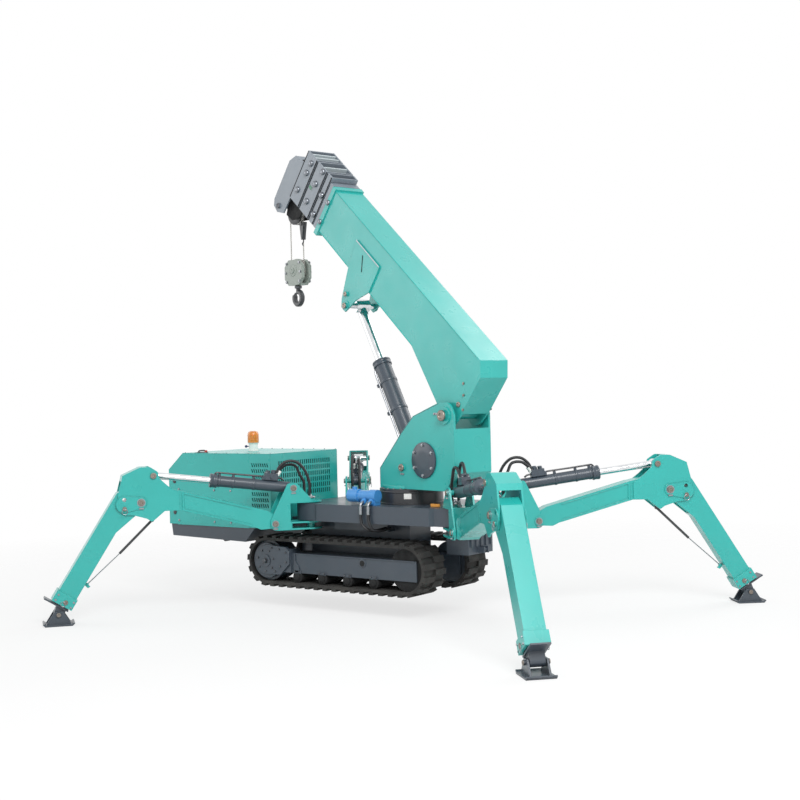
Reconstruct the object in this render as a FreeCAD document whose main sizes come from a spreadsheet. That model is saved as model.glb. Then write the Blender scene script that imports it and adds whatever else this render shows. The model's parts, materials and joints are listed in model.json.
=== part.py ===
"""Spider crane: a compact tracked crane standing on four folding outriggers.

Millimetres and degrees. +Z is up, +X is the end with the slewing column, and
the engine hood is at -X. The origin is on the ground, midway between the
outermost points. Each outrigger is drawn in its own upright plane (r outward
from its swing pin, z up), the column and the boom in the plane that the crane
slews with (u toward the hook, z up), and the boom in its own slope.
"""
import FreeCAD
import Part
import Sketcher
import math
import os
import re

# Driving dimensions, one row each: name, value
SIZES = dict(
    # chassis
    slew_x=21.0,
    slew_turn=165.55,
    frame_length=1474.0,
    frame_width=740.0,
    frame_x=-64.0,
    frame_bottom=642.0,
    frame_top=765.0,
    frame_corner=78.0,
    frame_neck=345.0,
    frame_neck_length=218.0,
    frame_bevel=26.0,
    pivot_x=632.0,
    pivot_y=265.0,
    # tracks
    track_x=-411.0,
    track_span=1260.0,
    track_face=382.0,
    track_width=238.0,
    track_z=336.0,
    belt_radius=168.0,
    belt_thick=20.0,
    lug_height=18.0,
    lug_pitch=83.0,
    lug_width=38.0,
    wheel_width=150.0,
    roller=42.0,
    roller_pitch=232.0,
    side_frame_top=64.0,
    side_frame_low=78.0,
    side_frame_half=90.0,
    side_frame_nose=716.0,
    drive_cover=128.0,
    cover_step=14.0,
    running_gap=0.3,
    # hood
    hood_rear=-2036.7,
    hood_front=-974.0,
    hood_half=385.0,
    hood_top=1120.0,
    hood_bottom=570.0,
    hood_chamfer_x=158.0,
    hood_chamfer_z=130.0,
    skirt_front=463.0,
    skirt_gap=17.0,
    skirt_slope=100.0,
    skirt_rear=480.0,
    sheet=4.0,
    deck_thick=40.0,
    slot_rows=8,
    slot_columns=8,
    slot_row_pitch=42.6,
    slot_pitch=21.5,
    slot_width=11.0,
    slot_height=27.0,
    slot_lean=9.0,
    slot_inset=21.0,
    slot_top=72.0,
    grille_rows=6,
    grille_columns=25,
    grille_row_pitch=45.5,
    grille_pitch=24.0,
    grille_slot=12.0,
    grille_height=33.0,
    grille_top=60.0,
    beacon_x=541.7,
    beacon_radius=38.0,
    beacon_base=36.0,
    beacon_seat=64.0,
    beacon_height=156.0,
    # outrigger: radius and height of each pin in the outrigger's plane
    root_r=278.0,
    root_z=628.0,
    base_r=141.0,
    base_z=878.0,
    eye_in=87.0,
    eye_rise=183.0,
    knee_r=1219.0,
    knee_z=822.0,
    lock_out=114.5,
    lock_hole_rise=24.0,
    lock_pin_fall=39.0,
    lock_radius=14.0,
    foot_r=1791.0,
    foot_z=77.0,
    front_angle=42.0,
    rear_angle=52.8,
    knee_offset=92.0,
    plate=12.0,
    arm_half=66.0,
    bracket_gap=3.0,
    bracket_low=578.0,
    window_r=165.0,
    web=20.0,
    flange_gap=5.0,
    leg_half=64.0,
    leg_deep=67.0,
    leg_side=17.0,
    leg_wall=8.0,
    leg_over=48.0,
    gusset=265.0,
    gusset_plate=12.0,
    collar_rise=10.0,
    collar_low=64.0,
    collar_high=145.0,
    slide_gap=3.0,
    stem_top=700.0,
    ear_half=50.0,
    end_plate=44.0,
    end_plate_out=141.0,
    pad_length=214.0,
    pad_width=174.0,
    pad_thick=12.0,
    pad_lip=22.0,
    foot_pin=14.0,
    swing_pin=28.0,
    root_pin=17.0,
    knee_pin=20.0,
    pin_gap=0.5,
    boss=32.0,
    lip_start=165.0,
    lip_width=13.0,
    lip_proud=5.0,
    strap_proud=6.0,
    # outrigger cylinder
    barrel=40.0,
    bore=33.0,
    rod=24.0,
    barrel_length=593.0,
    rod_length=650.0,
    gland=50.0,
    gland_rise=8.0,
    eye=34.0,
    eye_width=72.0,
    head_cap=45.0,
    # slewing motor and the box under the frame's front
    motor_back=319.0,
    motor_y=300.0,
    motor_rise=65.0,
    motor_radius=46.0,
    nose_x=416.0,
    nose_length=180.0,
    nose_depth=208.0,
    # column
    drum_radius=226.0,
    drum_top=874.0,
    column_half=165.0,
    column_wall=16.0,
    column_front=148.0,
    column_rear=-658.0,
    column_bottom=876.0,
    tail_room=90.0,
    luff_u=-565.0,
    luff_z=1385.0,
    luff_pin=28.0,
    winch_u=-347.0,
    winch_z=1080.0,
    winch_drum=80.0,
    winch_flange=112.0,
    cover=121.0,
    # boom
    boom_angle=40.3,
    boom_half=123.0,
    boom_low=123.0,
    boom_high=481.0,
    boom_front=2050.0,
    boom_collar=42.0,
    collar_below=38.0,
    collar_above=13.0,
    collar_proud=9.0,
    boom_rear=-13.0,
    boom_wall=8.0,
    section_wall=6.0,
    section_gap=5.0,
    head_low=113.0,
    head_deck=484.0,
    head_high=530.0,
    head_half=121.0,
    head_rib=9.0,
    head_cheek=12.0,
    tip_half=88.0,
    tip_a=2608.0,
    tip_b=-40.0,
    tip_pin=18.0,
    # luffing cylinder
    lift_base_u=-107.0,
    lift_base_z=1024.0,
    lift_eye_a=1375.0,
    lift_eye_b=-105.0,
    lift_barrel=60.0,
    lift_bore=50.0,
    lift_rod=36.0,
    lift_length=860.0,
    lift_rod_length=894.0,
    lift_head=60.0,
    lift_pin=24.0,
    # hook
    hook_a=2496.0,
    hook_b=-22.0,
    sheave=85.0,
    rope=4.5,
    block_drop=473.0,
    block_width=236.0,
    block_height=200.0,
    block_half=46.0,
    block_corner=52.0,
    sheave_drop=458.0,
    sheave_width=28.0,
    sheave_gap=6.0,
    head_sheave_width=40.0,
    head_pin=14.0,
    block_pin=16.0,
    shank=18.0,
    shank_seat=12.0,
    hook_drop=100.0,
    hook_thick=38.0,
    hook_corner=9.0,
    hook_bow=49.0,
    hook_tip=24.0,
)

doc = FreeCAD.newDocument("spider_crane")
sheet = doc.addObject("Spreadsheet::Sheet", "sizes")
for number, (name, value) in enumerate(SIZES.items(), start=1):
    sheet.set(f"A{number}", name)
    sheet.set(f"B{number}", str(value))
    sheet.setAlias(f"B{number}", name)
doc.recompute()

WORD = re.compile(r"[a-z_]+")
X_AXIS = FreeCAD.Vector(1, 0, 0)
Y_AXIS = FreeCAD.Vector(0, 1, 0)
Z_AXIS = FreeCAD.Vector(0, 0, 1)
pieces = []

# heads of the boom's sections: number, gap before it, length, top
HEADS = (
    (2, 4, 46, "boom_high + collar_above"),
    (3, 12, 68, "head_high"),
    (4, 12, 148, "head_high"),
    (5, 12, 148, "head_high"),
)


def size(name):
    """The value of one driving dimension."""
    return sheet.get(name)


def formula(text):
    """A formula over the sheet: each dimension's name gets the sheet's own name."""
    return WORD.sub(lambda m: "sizes." + m[0] if m[0] in SIZES else m[0], str(text))


def bind(item, prop, text):
    """Bind one property to a formula over the sheet."""
    item.setExpression(prop, formula(text))


def part_body(name):
    """An empty body, which becomes one piece of the crane."""
    made = doc.addObject("PartDesign::Body", name)
    made.Label = name
    pieces.append(made)
    return made


def new_sketch(body, plane, offset):
    """A sketch on one of the body's own planes, offset along the plane's normal."""
    made = body.newObject("Sketcher::SketchObject", body.Label + "_sketch")
    origin = [f for f in body.Origin.OriginFeatures if f.Role == plane + "_Plane"][0]
    made.AttachmentSupport = [(origin, "")]
    made.MapMode = "FlatFace"
    bind(made, "AttachmentOffset.Base.z", offset)
    return made


def outline(body, plane, corners, offset=0):
    """A closed outline whose corners are pairs of formulas."""
    made = new_sketch(body, plane, offset)
    count = len(corners)
    start = [
        FreeCAD.Vector(math.cos(2 * math.pi * i / count), math.sin(2 * math.pi * i / count), 0) * 100
        for i in range(count)
    ]
    lines = [Part.LineSegment(start[i], start[(i + 1) % count]) for i in range(count)]
    made.addGeometry(lines, False)
    rules = []
    for i in range(count):
        rules.append(Sketcher.Constraint("Coincident", i, 2, (i + 1) % count, 1))
    for i in range(count):
        rules.append(Sketcher.Constraint("DistanceX", i, 1, start[i].x))
        rules.append(Sketcher.Constraint("DistanceY", i, 1, start[i].y))
    made.addConstraint(rules)
    for i, (across, up) in enumerate(corners):
        bind(made, f"Constraints[{count + 2 * i}]", across)
        bind(made, f"Constraints[{count + 2 * i + 1}]", up)
    return made


def circle(body, plane, across, up, radius, offset=0):
    """A circle whose centre and radius are formulas."""
    made = new_sketch(body, plane, offset)
    made.addGeometry(Part.Circle(FreeCAD.Vector(10, 10, 0), Z_AXIS, 10), False)
    made.addConstraint(
        [
            Sketcher.Constraint("DistanceX", 0, 3, 10),
            Sketcher.Constraint("DistanceY", 0, 3, 10),
            Sketcher.Constraint("Radius", 0, 10),
        ]
    )
    bind(made, "Constraints[0]", across)
    bind(made, "Constraints[1]", up)
    bind(made, "Constraints[2]", radius)
    return made


def feature(body, kind, drawing, length, side="Symmetric", back=False):
    """A pad or pocket of a drawing, half to each side of it or to one side."""
    made = body.newObject("PartDesign::" + kind, body.Label + "_" + kind.lower())
    made.Profile = drawing
    made.SideType = side
    made.Reversed = back
    bind(made, "Length", length)
    drawing.Visibility = False
    body.Tip = made
    return made


def pad(body, drawing, length, side="Symmetric", back=False):
    """Material over a drawing."""
    return feature(body, "Pad", drawing, length, side, back)


def pocket(body, drawing, length, side="Symmetric", back=False):
    """A cut through the body over a drawing."""
    return feature(body, "Pocket", drawing, length, side, back)


def revolved(body, drawing, axis):
    """Material swept by a drawing all the way round one of the body's own axes."""
    made = body.newObject("PartDesign::Revolution", body.Label + "_revolution")
    made.Profile = drawing
    made.ReferenceAxis = ([f for f in body.Origin.OriginFeatures if f.Role == axis + "_Axis"][0], [""])
    made.Angle = 360
    drawing.Visibility = False
    body.Tip = made
    return made


def round_off(body, drawing, radii):
    """Round the upright edges over some corners of a drawing: corner number and radius."""
    doc.recompute()
    normal = drawing.Placement.Rotation.multVec(Z_AXIS)
    for radius in sorted(set(radii.values()), key=str):
        tip = body.Tip
        names = []
        for corner in [c for c, r in radii.items() if r == radius]:
            at = drawing.Placement.multVec(drawing.Geometry[corner].StartPoint)
            for i, edge in enumerate(tip.Shape.Edges, start=1):
                if not isinstance(edge.Curve, Part.Line):
                    continue
                if edge.Curve.Direction.cross(normal).Length > 1e-6:
                    continue
                if (edge.Vertexes[0].Point - at).cross(normal).Length < 1e-3:
                    names.append(f"Edge{i}")
        made = body.newObject("PartDesign::Fillet", body.Label + "_round")
        made.Base = (tip, names)
        bind(made, "Radius", radius)
        body.Tip = made
        doc.recompute()


def strap(body, start, end, radii, half_out, half_in):
    """A raised plate on both outer sides, round two points: a disc at each and the tangents between."""
    along = math.atan2(end[1] - start[1], end[0] - start[0])
    spread = math.asin((radii[1] - radii[0]) / math.hypot(end[0] - start[0], end[1] - start[1]))
    corners = []
    for way in (1, -1):
        turn = along + way * (math.pi / 2 + spread)
        ends = [(start, radii[0]), (end, radii[1])][::way]
        corners += [(at[0] + r * math.cos(turn), at[1] + r * math.sin(turn)) for at, r in ends]
    corners = [(str(across), str(up)) for across, up in corners]
    for sign in (1, -1):
        drawing = outline(body, "XZ", corners, f"{sign} * ({half_in})")
        pad(body, drawing, f"({half_out}) - ({half_in})", "One side", sign < 0)
    for at, r in ((start, radii[0]), (end, radii[1])):
        lateral_disc(body, str(at[0]), str(at[1]), str(r), half_out, half_in)


def lateral_disc(body, across, up, radius, half_out, half_in=None):
    """A round boss or pin along Y, whole or only on both outer sides."""
    if half_in is None:
        pad(body, circle(body, "XZ", across, up, radius), f"2 * ({half_out})")
        return
    for sign in (1, -1):
        drawing = circle(body, "XZ", across, up, radius, f"{sign} * ({half_in})")
        pad(body, drawing, f"({half_out}) - ({half_in})", "One side", sign < 0)


def box(name, lengths, corner):
    """A box from its three lengths and its lowest corner, all formulas."""
    made = doc.addObject("Part::Box", name)
    for prop, text in zip(("Length", "Width", "Height"), lengths):
        bind(made, prop, text)
    for axis, text in zip("xyz", corner):
        bind(made, f"Placement.Base.{axis}", text)
    return made


def rod(name, radius, length, at, axis="z"):
    """A cylinder along one axis from its starting point, all formulas."""
    made = doc.addObject("Part::Cylinder", name)
    bind(made, "Radius", radius)
    bind(made, "Height", length)
    turn = {"x": (Y_AXIS, 90), "y": (X_AXIS, -90), "z": (Z_AXIS, 0)}[axis]
    made.Placement = FreeCAD.Placement(FreeCAD.Vector(), FreeCAD.Rotation(*turn))
    for direction, text in zip("xyz", at):
        bind(made, f"Placement.Base.{direction}", text)
    return made


def joined(name, shapes, cuts=()):
    """Several shapes as one piece, less what is cut from it."""
    made = shapes[0]
    if len(shapes) > 1:
        made = doc.addObject("Part::MultiFuse", name + "_joined" if cuts else name)
        made.Shapes = shapes
    for i, tool in enumerate(cuts):
        whole = made
        made = doc.addObject("Part::Cut", f"{name}_cut{i}" if i < len(cuts) - 1 else name)
        made.Base = whole
        made.Tool = tool
    made.Label = name
    pieces.append(made)
    return made


def placed(x, y, z, turn=0.0, tilt=0.0):
    """A place at x, y, z, turned about Z and then tilted so that +X rises."""
    spin = FreeCAD.Rotation(Z_AXIS, turn) * FreeCAD.Rotation(Y_AXIS, -tilt)
    return FreeCAD.Placement(FreeCAD.Vector(x, y, z), spin)


def chassis_frame():
    """The box frame whose round corners carry the outriggers."""
    made = part_body("main_frame")
    steps = [
        ("frame_length / 2", "frame_neck"),
        ("(frame_length / 2 - frame_neck_length)", "frame_neck"),
        ("(frame_length / 2 - frame_neck_length - frame_bevel)", "frame_width / 2"),
    ]
    plan = []
    for way, side in ((-1, -1), (1, -1), (1, 1), (-1, 1)):
        run = steps if way * side > 0 else steps[::-1]
        plan += [(f"frame_x + {way} * {along}", f"{side} * {across}") for along, across in run]
    plan = outline(made, "XY", plan, "frame_bottom")
    pad(made, plan, "frame_top - frame_bottom", "One side")
    round_off(made, plan, {i: "frame_corner" for i in (0, 5, 6, 11)})
    for sx in (-1, 1):
        for sy in (-1, 1):
            hole = circle(
                made, "XY", f"frame_x + {sx} * pivot_x", f"{sy} * pivot_y", "swing_pin + pin_gap", "frame_top"
            )
            pocket(made, hole, "frame_top - frame_bottom + 2", "One side")


def track(side, sign):
    """One rubber track: a belt round two wheels, its two rows of lugs half a pitch apart."""
    straight = size("track_span")
    core = size("belt_radius")
    inner = core - size("belt_thick")
    tip = core + size("lug_height")
    around = 2 * straight + 2 * math.pi * core
    count = round(around / size("lug_pitch"))

    def at(distance, radius):
        """A point of the belt, by distance along it and radius at the wheels."""
        distance %= around
        turn = math.pi * core
        if distance < straight:
            return FreeCAD.Vector(-straight / 2 + distance, 0, radius)
        if distance < straight + turn:
            a = math.pi / 2 - (distance - straight) / core
            return FreeCAD.Vector(straight / 2 + radius * math.cos(a), 0, radius * math.sin(a))
        if distance < 2 * straight + turn:
            return FreeCAD.Vector(straight / 2 - (distance - straight - turn), 0, -radius)
        a = -math.pi / 2 - (distance - 2 * straight - turn) / core
        return FreeCAD.Vector(-straight / 2 + radius * math.cos(a), 0, radius * math.sin(a))

    bend = [FreeCAD.Vector(straight / 2 + inner, 0, 0), FreeCAD.Vector(-straight / 2 - inner, 0, 0)]
    corners = [FreeCAD.Vector(sx * straight / 2, 0, sz * inner) for sx, sz in ((-1, 1), (1, 1), (1, -1), (-1, -1))]
    hollow = Part.Wire(
        [
            Part.LineSegment(corners[0], corners[1]).toShape(),
            Part.Arc(corners[1], bend[0], corners[2]).toShape(),
            Part.LineSegment(corners[2], corners[3]).toShape(),
            Part.Arc(corners[3], bend[1], corners[0]).toShape(),
        ]
    )
    rows = []
    for row in (0, 1):
        points = []
        for lug in range(count):
            middle = (lug + row / 2) * around / count
            low = middle - size("lug_width") / 2
            high = middle + size("lug_width") / 2
            points += [at(low, core), at(low, tip), at(high, tip), at(high, core)]
        outer = Part.makePolygon(points + points[:1])
        face = Part.Face(outer).cut(Part.Face(hollow)).Faces[0]
        half = face.extrude(FreeCAD.Vector(0, size("track_width") / 2, 0))
        rows.append(half.translated(FreeCAD.Vector(0, row * size("track_width") / 2, 0)))
    made = doc.addObject("Part::Feature", "track_" + side)
    made.Label = "track_" + side
    made.Shape = rows[0].fuse(rows[1])
    low_y = size("track_face") - size("track_width") if sign > 0 else -size("track_face")
    made.Placement = placed(size("track_x"), low_y, size("track_z"))
    pieces.append(made)


def undercarriage():
    """The low chassis, its cross beams, both side frames with their rollers, and the belts' wheels."""
    shapes = [
        box("low_chassis", ("900", "250", "frame_bottom - 300"), ("track_x - 400", "-125", "300")),
        box("low_chassis_wing", ("480", "420", "70"), ("track_x - 110", "-210", "frame_bottom - 70")),
    ]
    deck_half = "hood_half - sheet - running_gap"
    shapes.append(
        box(
            "hood_deck",
            ("hood_front - hood_rear - 4 * sheet", f"2 * ({deck_half})", "deck_thick"),
            ("hood_rear + 2 * sheet", f"-({deck_half})", "hood_bottom + running_gap"),
        )
    )
    neck = box(
        "deck_neck",
        ("track_x - hood_front", "300", "frame_bottom - running_gap - hood_bottom"),
        ("hood_front + running_gap", "-150", "hood_bottom + running_gap"),
    )
    tongue = box("deck_tongue", ("200", "300", "deck_thick"), ("hood_front - 100", "-150", "hood_bottom + running_gap"))
    shapes += [neck, tongue]
    inner = "belt_radius - belt_thick - running_gap"
    for end, sign in (("rear", -1), ("front", 1)):
        at = (f"track_x + {sign} * 330", "50 - track_face", "track_z")
        shapes.append(rod(f"cross_beam_{end}", "60", "2 * track_face - 100", at, "y"))
    for side, sign in (("right", -1), ("left", 1)):
        middle = f"{sign} * (track_face - track_width / 2)"
        shapes.append(
            box(
                f"side_frame_{side}",
                ("track_span / 2 + side_frame_nose", "2 * side_frame_half", "side_frame_top + side_frame_low"),
                ("track_x - track_span / 2", f"{middle} - side_frame_half", "track_z - side_frame_low"),
            )
        )
        for end, way in (("rear", -1), ("front", 1)):
            at = (f"track_x + {way} * track_span / 2", f"{middle} - wheel_width / 2", "track_z")
            shapes.append(rod(f"wheel_{side}_{end}", inner, "wheel_width", at, "y"))
        for number in range(4):
            at = (
                f"track_x + {number - 1.5} * roller_pitch",
                f"{middle} - side_frame_half",
                f"track_z - ({inner}) + roller",
            )
            shapes.append(rod(f"roller_{side}_{number}", "roller", "2 * side_frame_half", at, "y"))
        out = "side_frame_half + cover_step"
        for name, radius, proud in (("case", "drive_cover", "1"), ("cap", "drive_cover - 40", "2"), ("hub", "46", "2.6")):
            half = f"(side_frame_half + {proud} * cover_step)"
            at = ("track_x - track_span / 2", f"{middle} - {half}" if sign < 0 else middle, "track_z")
            shapes.append(rod(f"drive_{name}_{side}", radius, half, at, "y"))
        low = f"{middle} - ({out})" if sign < 0 else middle
        shapes.append(
            box(f"drive_arm_{side}", ("230", out, "2 * side_frame_low + 14"), ("track_x - track_span / 2", low, "track_z - side_frame_low"))
        )
    joined("undercarriage", shapes)


def slotted(name, corners, slots, thick, place):
    """A thin panel standing in its own XZ plane, with slots through it."""
    wires = [Part.makePolygon([FreeCAD.Vector(x, 0, z) for x, z in ring + ring[:1]]) for ring in [corners] + slots]
    made = doc.addObject("Part::Feature", name)
    made.Label = name
    made.Shape = Part.makeFace(wires, "Part::FaceMakerBullseye").extrude(FreeCAD.Vector(0, thick, 0))
    made.Placement = place
    pieces.append(made)


def hood():
    """Cover, two side panels, grille and skirt round the engine, each a bent sheet."""
    thick, gap = size("sheet"), size("sheet") + size("running_gap")
    rear, front, top, bottom = size("hood_rear"), size("hood_front"), size("hood_top"), size("hood_bottom")
    slope = math.atan2(size("hood_chamfer_x"), size("hood_chamfer_z"))
    low = math.tan(slope / 2)
    high = math.tan(math.pi / 4 - slope / 2)
    side_corners = [
        (front, bottom),
        (front, top - gap),
        (rear + size("hood_chamfer_x") + high * gap, top - gap),
        (rear + gap, top - size("hood_chamfer_z") - low * gap),
        (rear + gap, bottom),
    ]
    slots = []
    for row in range(int(size("slot_rows"))):
        z = top - size("slot_top") - row * size("slot_row_pitch")
        for column in range(int(size("slot_columns"))):
            x = front - size("slot_inset") - column * size("slot_pitch")
            across, down, lean = size("slot_width"), size("slot_height"), size("slot_lean")
            slots.append([(x - across, z - down), (x, z - down), (x - lean, z), (x - lean - across, z)])
    for side, sign in (("right", -1), ("left", 1)):
        y = -size("hood_half") if sign < 0 else size("hood_half") - thick
        slotted("hood_side_" + side, side_corners, slots, thick, placed(0, y, 0))
    made = part_body("hood_cover")
    profile = [
        ("hood_front", "hood_top - sheet"),
        ("hood_front", "hood_top"),
        ("hood_rear + hood_chamfer_x", "hood_top"),
        ("hood_rear", "hood_top - hood_chamfer_z"),
        ("hood_rear", "hood_bottom"),
        ("hood_rear + sheet", "hood_bottom"),
        ("hood_rear + sheet", f"hood_top - hood_chamfer_z - {low} * sheet"),
        (f"hood_rear + hood_chamfer_x + {high} * sheet", "hood_top - sheet"),
    ]
    pad(made, outline(made, "XZ", profile), "2 * hood_half")
    half = size("hood_half") - gap
    floor = bottom + size("deck_thick") + 2 * size("running_gap")
    slots = []
    for row in range(int(size("grille_rows"))):
        z = top - size("grille_top") - row * size("grille_row_pitch")
        for column in range(int(size("grille_columns"))):
            x = (column - (size("grille_columns") - 1) / 2) * size("grille_pitch") - size("grille_slot") / 2
            right = x + size("grille_slot")
            slots.append([(x, z - size("grille_height")), (right, z - size("grille_height")), (right, z), (x, z)])
    corners = [(-half, floor), (half, floor), (half, top - gap), (-half, top - gap)]
    slotted("hood_grille", corners, slots, thick, placed(front, 0, 0, 90))
    made = part_body("hood_skirt")
    skirt_x = "(track_x - track_span / 2 - belt_radius - lug_height - skirt_gap)"
    profile = [
        ("hood_rear + 15", "hood_bottom - running_gap"),
        ("hood_rear + 30", "skirt_rear"),
        (skirt_x, "skirt_front"),
        (f"{skirt_x} + skirt_slope", "hood_bottom - running_gap"),
    ]
    pad(made, outline(made, "XZ", profile), "2 * hood_half - 10")
    hollow = [
        ("hood_rear + 60", "hood_bottom + 50"),
        ("hood_rear + 60", "skirt_rear + 6"),
        (f"{skirt_x} - 15", "skirt_front + 6"),
        (f"{skirt_x} + skirt_slope - 30", "hood_bottom + 50"),
    ]
    pocket(made, outline(made, "XZ", hollow), "2 * hood_half - 30")
    made = box("engine", ("620", "520", "420"), ("hood_rear + 220", "-260", "hood_bottom + deck_thick + 2 * running_gap"))
    made.Label = "engine"
    pieces.append(made)
    place = placed(rear + size("beacon_x"), 0, top + size("running_gap"))
    made = part_body("beacon_base")
    profile = [("0", "0"), ("beacon_base", "0"), ("beacon_base - 2", "beacon_seat"), ("0", "beacon_seat")]
    revolved(made, outline(made, "XZ", profile), "Z")
    made.Placement = place
    made = part_body("beacon")
    profile = [
        ("0", "beacon_seat"),
        ("beacon_radius", "beacon_seat"),
        ("beacon_radius", "beacon_height - 22"),
        ("beacon_radius - 10", "beacon_height - 7"),
        ("0", "beacon_height"),
    ]
    revolved(made, outline(made, "XZ", profile), "Z")
    made.Placement = place


def slew_parts():
    """The slewing drive on the frame, its motor, and the ribbed box with the tow eye below."""
    drum = rod("slew_case", "drum_radius", "drum_top - frame_top - 0.6", ("slew_x", "0", "frame_top + 0.3"))
    joined("slew_drive", [drum])
    y, z = "-motor_y", "frame_top + motor_rise"
    shapes = [
        rod("slew_motor_cap", "motor_radius", "88", ("slew_x - motor_back", y, z), "x"),
        rod("slew_motor_can", "motor_radius - 8", "100", ("slew_x - motor_back + 86", y, z), "x"),
        rod("slew_motor_flange", "motor_radius - 2", "62", ("slew_x - motor_back + 185", y, z), "x"),
        box("slew_motor_saddle", ("56", "2 * motor_radius - 30", "motor_rise - running_gap"),
            ("slew_x - motor_back + 188", f"{y} - motor_radius + 15", "frame_top + running_gap")),
    ]
    joined("slew_motor", shapes)
    shapes = [box("nose_box", ("nose_length", "300", "nose_depth"), ("nose_x", "-150", "frame_bottom - nose_depth - 0.3"))]
    for number in range(5):
        at = ("nose_x + nose_length - 2", f"{number - 2} * 60 - 6", "frame_bottom - nose_depth + 50")
        shapes.append(box(f"nose_rib_{number}", ("12", "12", "nose_depth - 60"), at))
    for sign in (-1, 1):
        at = ("nose_x + nose_length - 10", f"{sign} * 24 - 6", "frame_bottom - nose_depth + 6")
        shapes.append(box(f"tow_cheek_{sign + 1}", ("58", "12", "44"), at))
    shapes.append(rod("tow_pin", "10", "60", ("nose_x + nose_length + 30", "-30", "frame_bottom - nose_depth + 28"), "y"))
    joined("front_box", shapes)


def swing_bracket(name, base):
    """The bracket on its king pin: two plates, a web, and a lug above and two below the frame."""
    made = part_body(name + "_bracket")
    wide = "(arm_half + bracket_gap + plate)"
    upper = "(frame_top + flange_gap + plate)"
    profile = outline(
        made,
        "XZ",
        [
            ("0", "bracket_low"),
            ("root_r + boss + 2", "bracket_low"),
            ("root_r + boss + 2", "root_z + 20"),
            ("base_r + 42", "base_z + 36"),
            ("base_r - 26", "base_z + 36"),
            ("0", upper),
        ],
    )
    pad(made, profile, f"2 * {wide}")
    round_off(made, profile, {1: "44", 2: "25", 3: "25", 4: "25"})
    for low in ("bracket_low", "frame_bottom - flange_gap - plate", "frame_top + flange_gap"):
        pad(made, circle(made, "XY", "0", "0", f"{wide} - 0.5", low), "plate", "One side")
    window = [
        ("-3 * swing_pin", "frame_bottom - flange_gap"),
        ("window_r", "frame_bottom - flange_gap"),
        ("window_r", "frame_top + flange_gap"),
        ("-3 * swing_pin", "frame_top + flange_gap"),
    ]
    pocket(made, outline(made, "XZ", window), "400")
    slot = [
        ("-3 * swing_pin", "bracket_low + plate"),
        ("window_r - 10", "bracket_low + plate"),
        ("window_r - 10", "frame_bottom - flange_gap - plate"),
        ("-3 * swing_pin", "frame_bottom - flange_gap - plate"),
    ]
    pocket(made, outline(made, "XZ", slot), "400")
    inside = [
        ("window_r + web", "bracket_low - 100"),
        ("window_r + 400", "bracket_low - 100"),
        ("window_r + 400", "base_z + 200"),
        ("-40", "base_z + 200"),
        ("-40", upper),
        ("window_r + web", upper),
    ]
    pocket(made, outline(made, "XZ", inside), "2 * (arm_half + bracket_gap)")
    pin = circle(made, "XY", "0", "0", "swing_pin", "bracket_low - 6")
    pad(made, pin, f"{upper} + 16 - bracket_low", "One side")
    lateral_disc(made, "root_r", "root_z", "boss", f"{wide} + 8", wide)
    lateral_disc(made, "root_r", "root_z", "root_pin", f"{wide} + 16")
    lateral_disc(made, "base_r", "base_z", "root_pin", f"{wide} + 8")
    made.Placement = base


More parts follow.
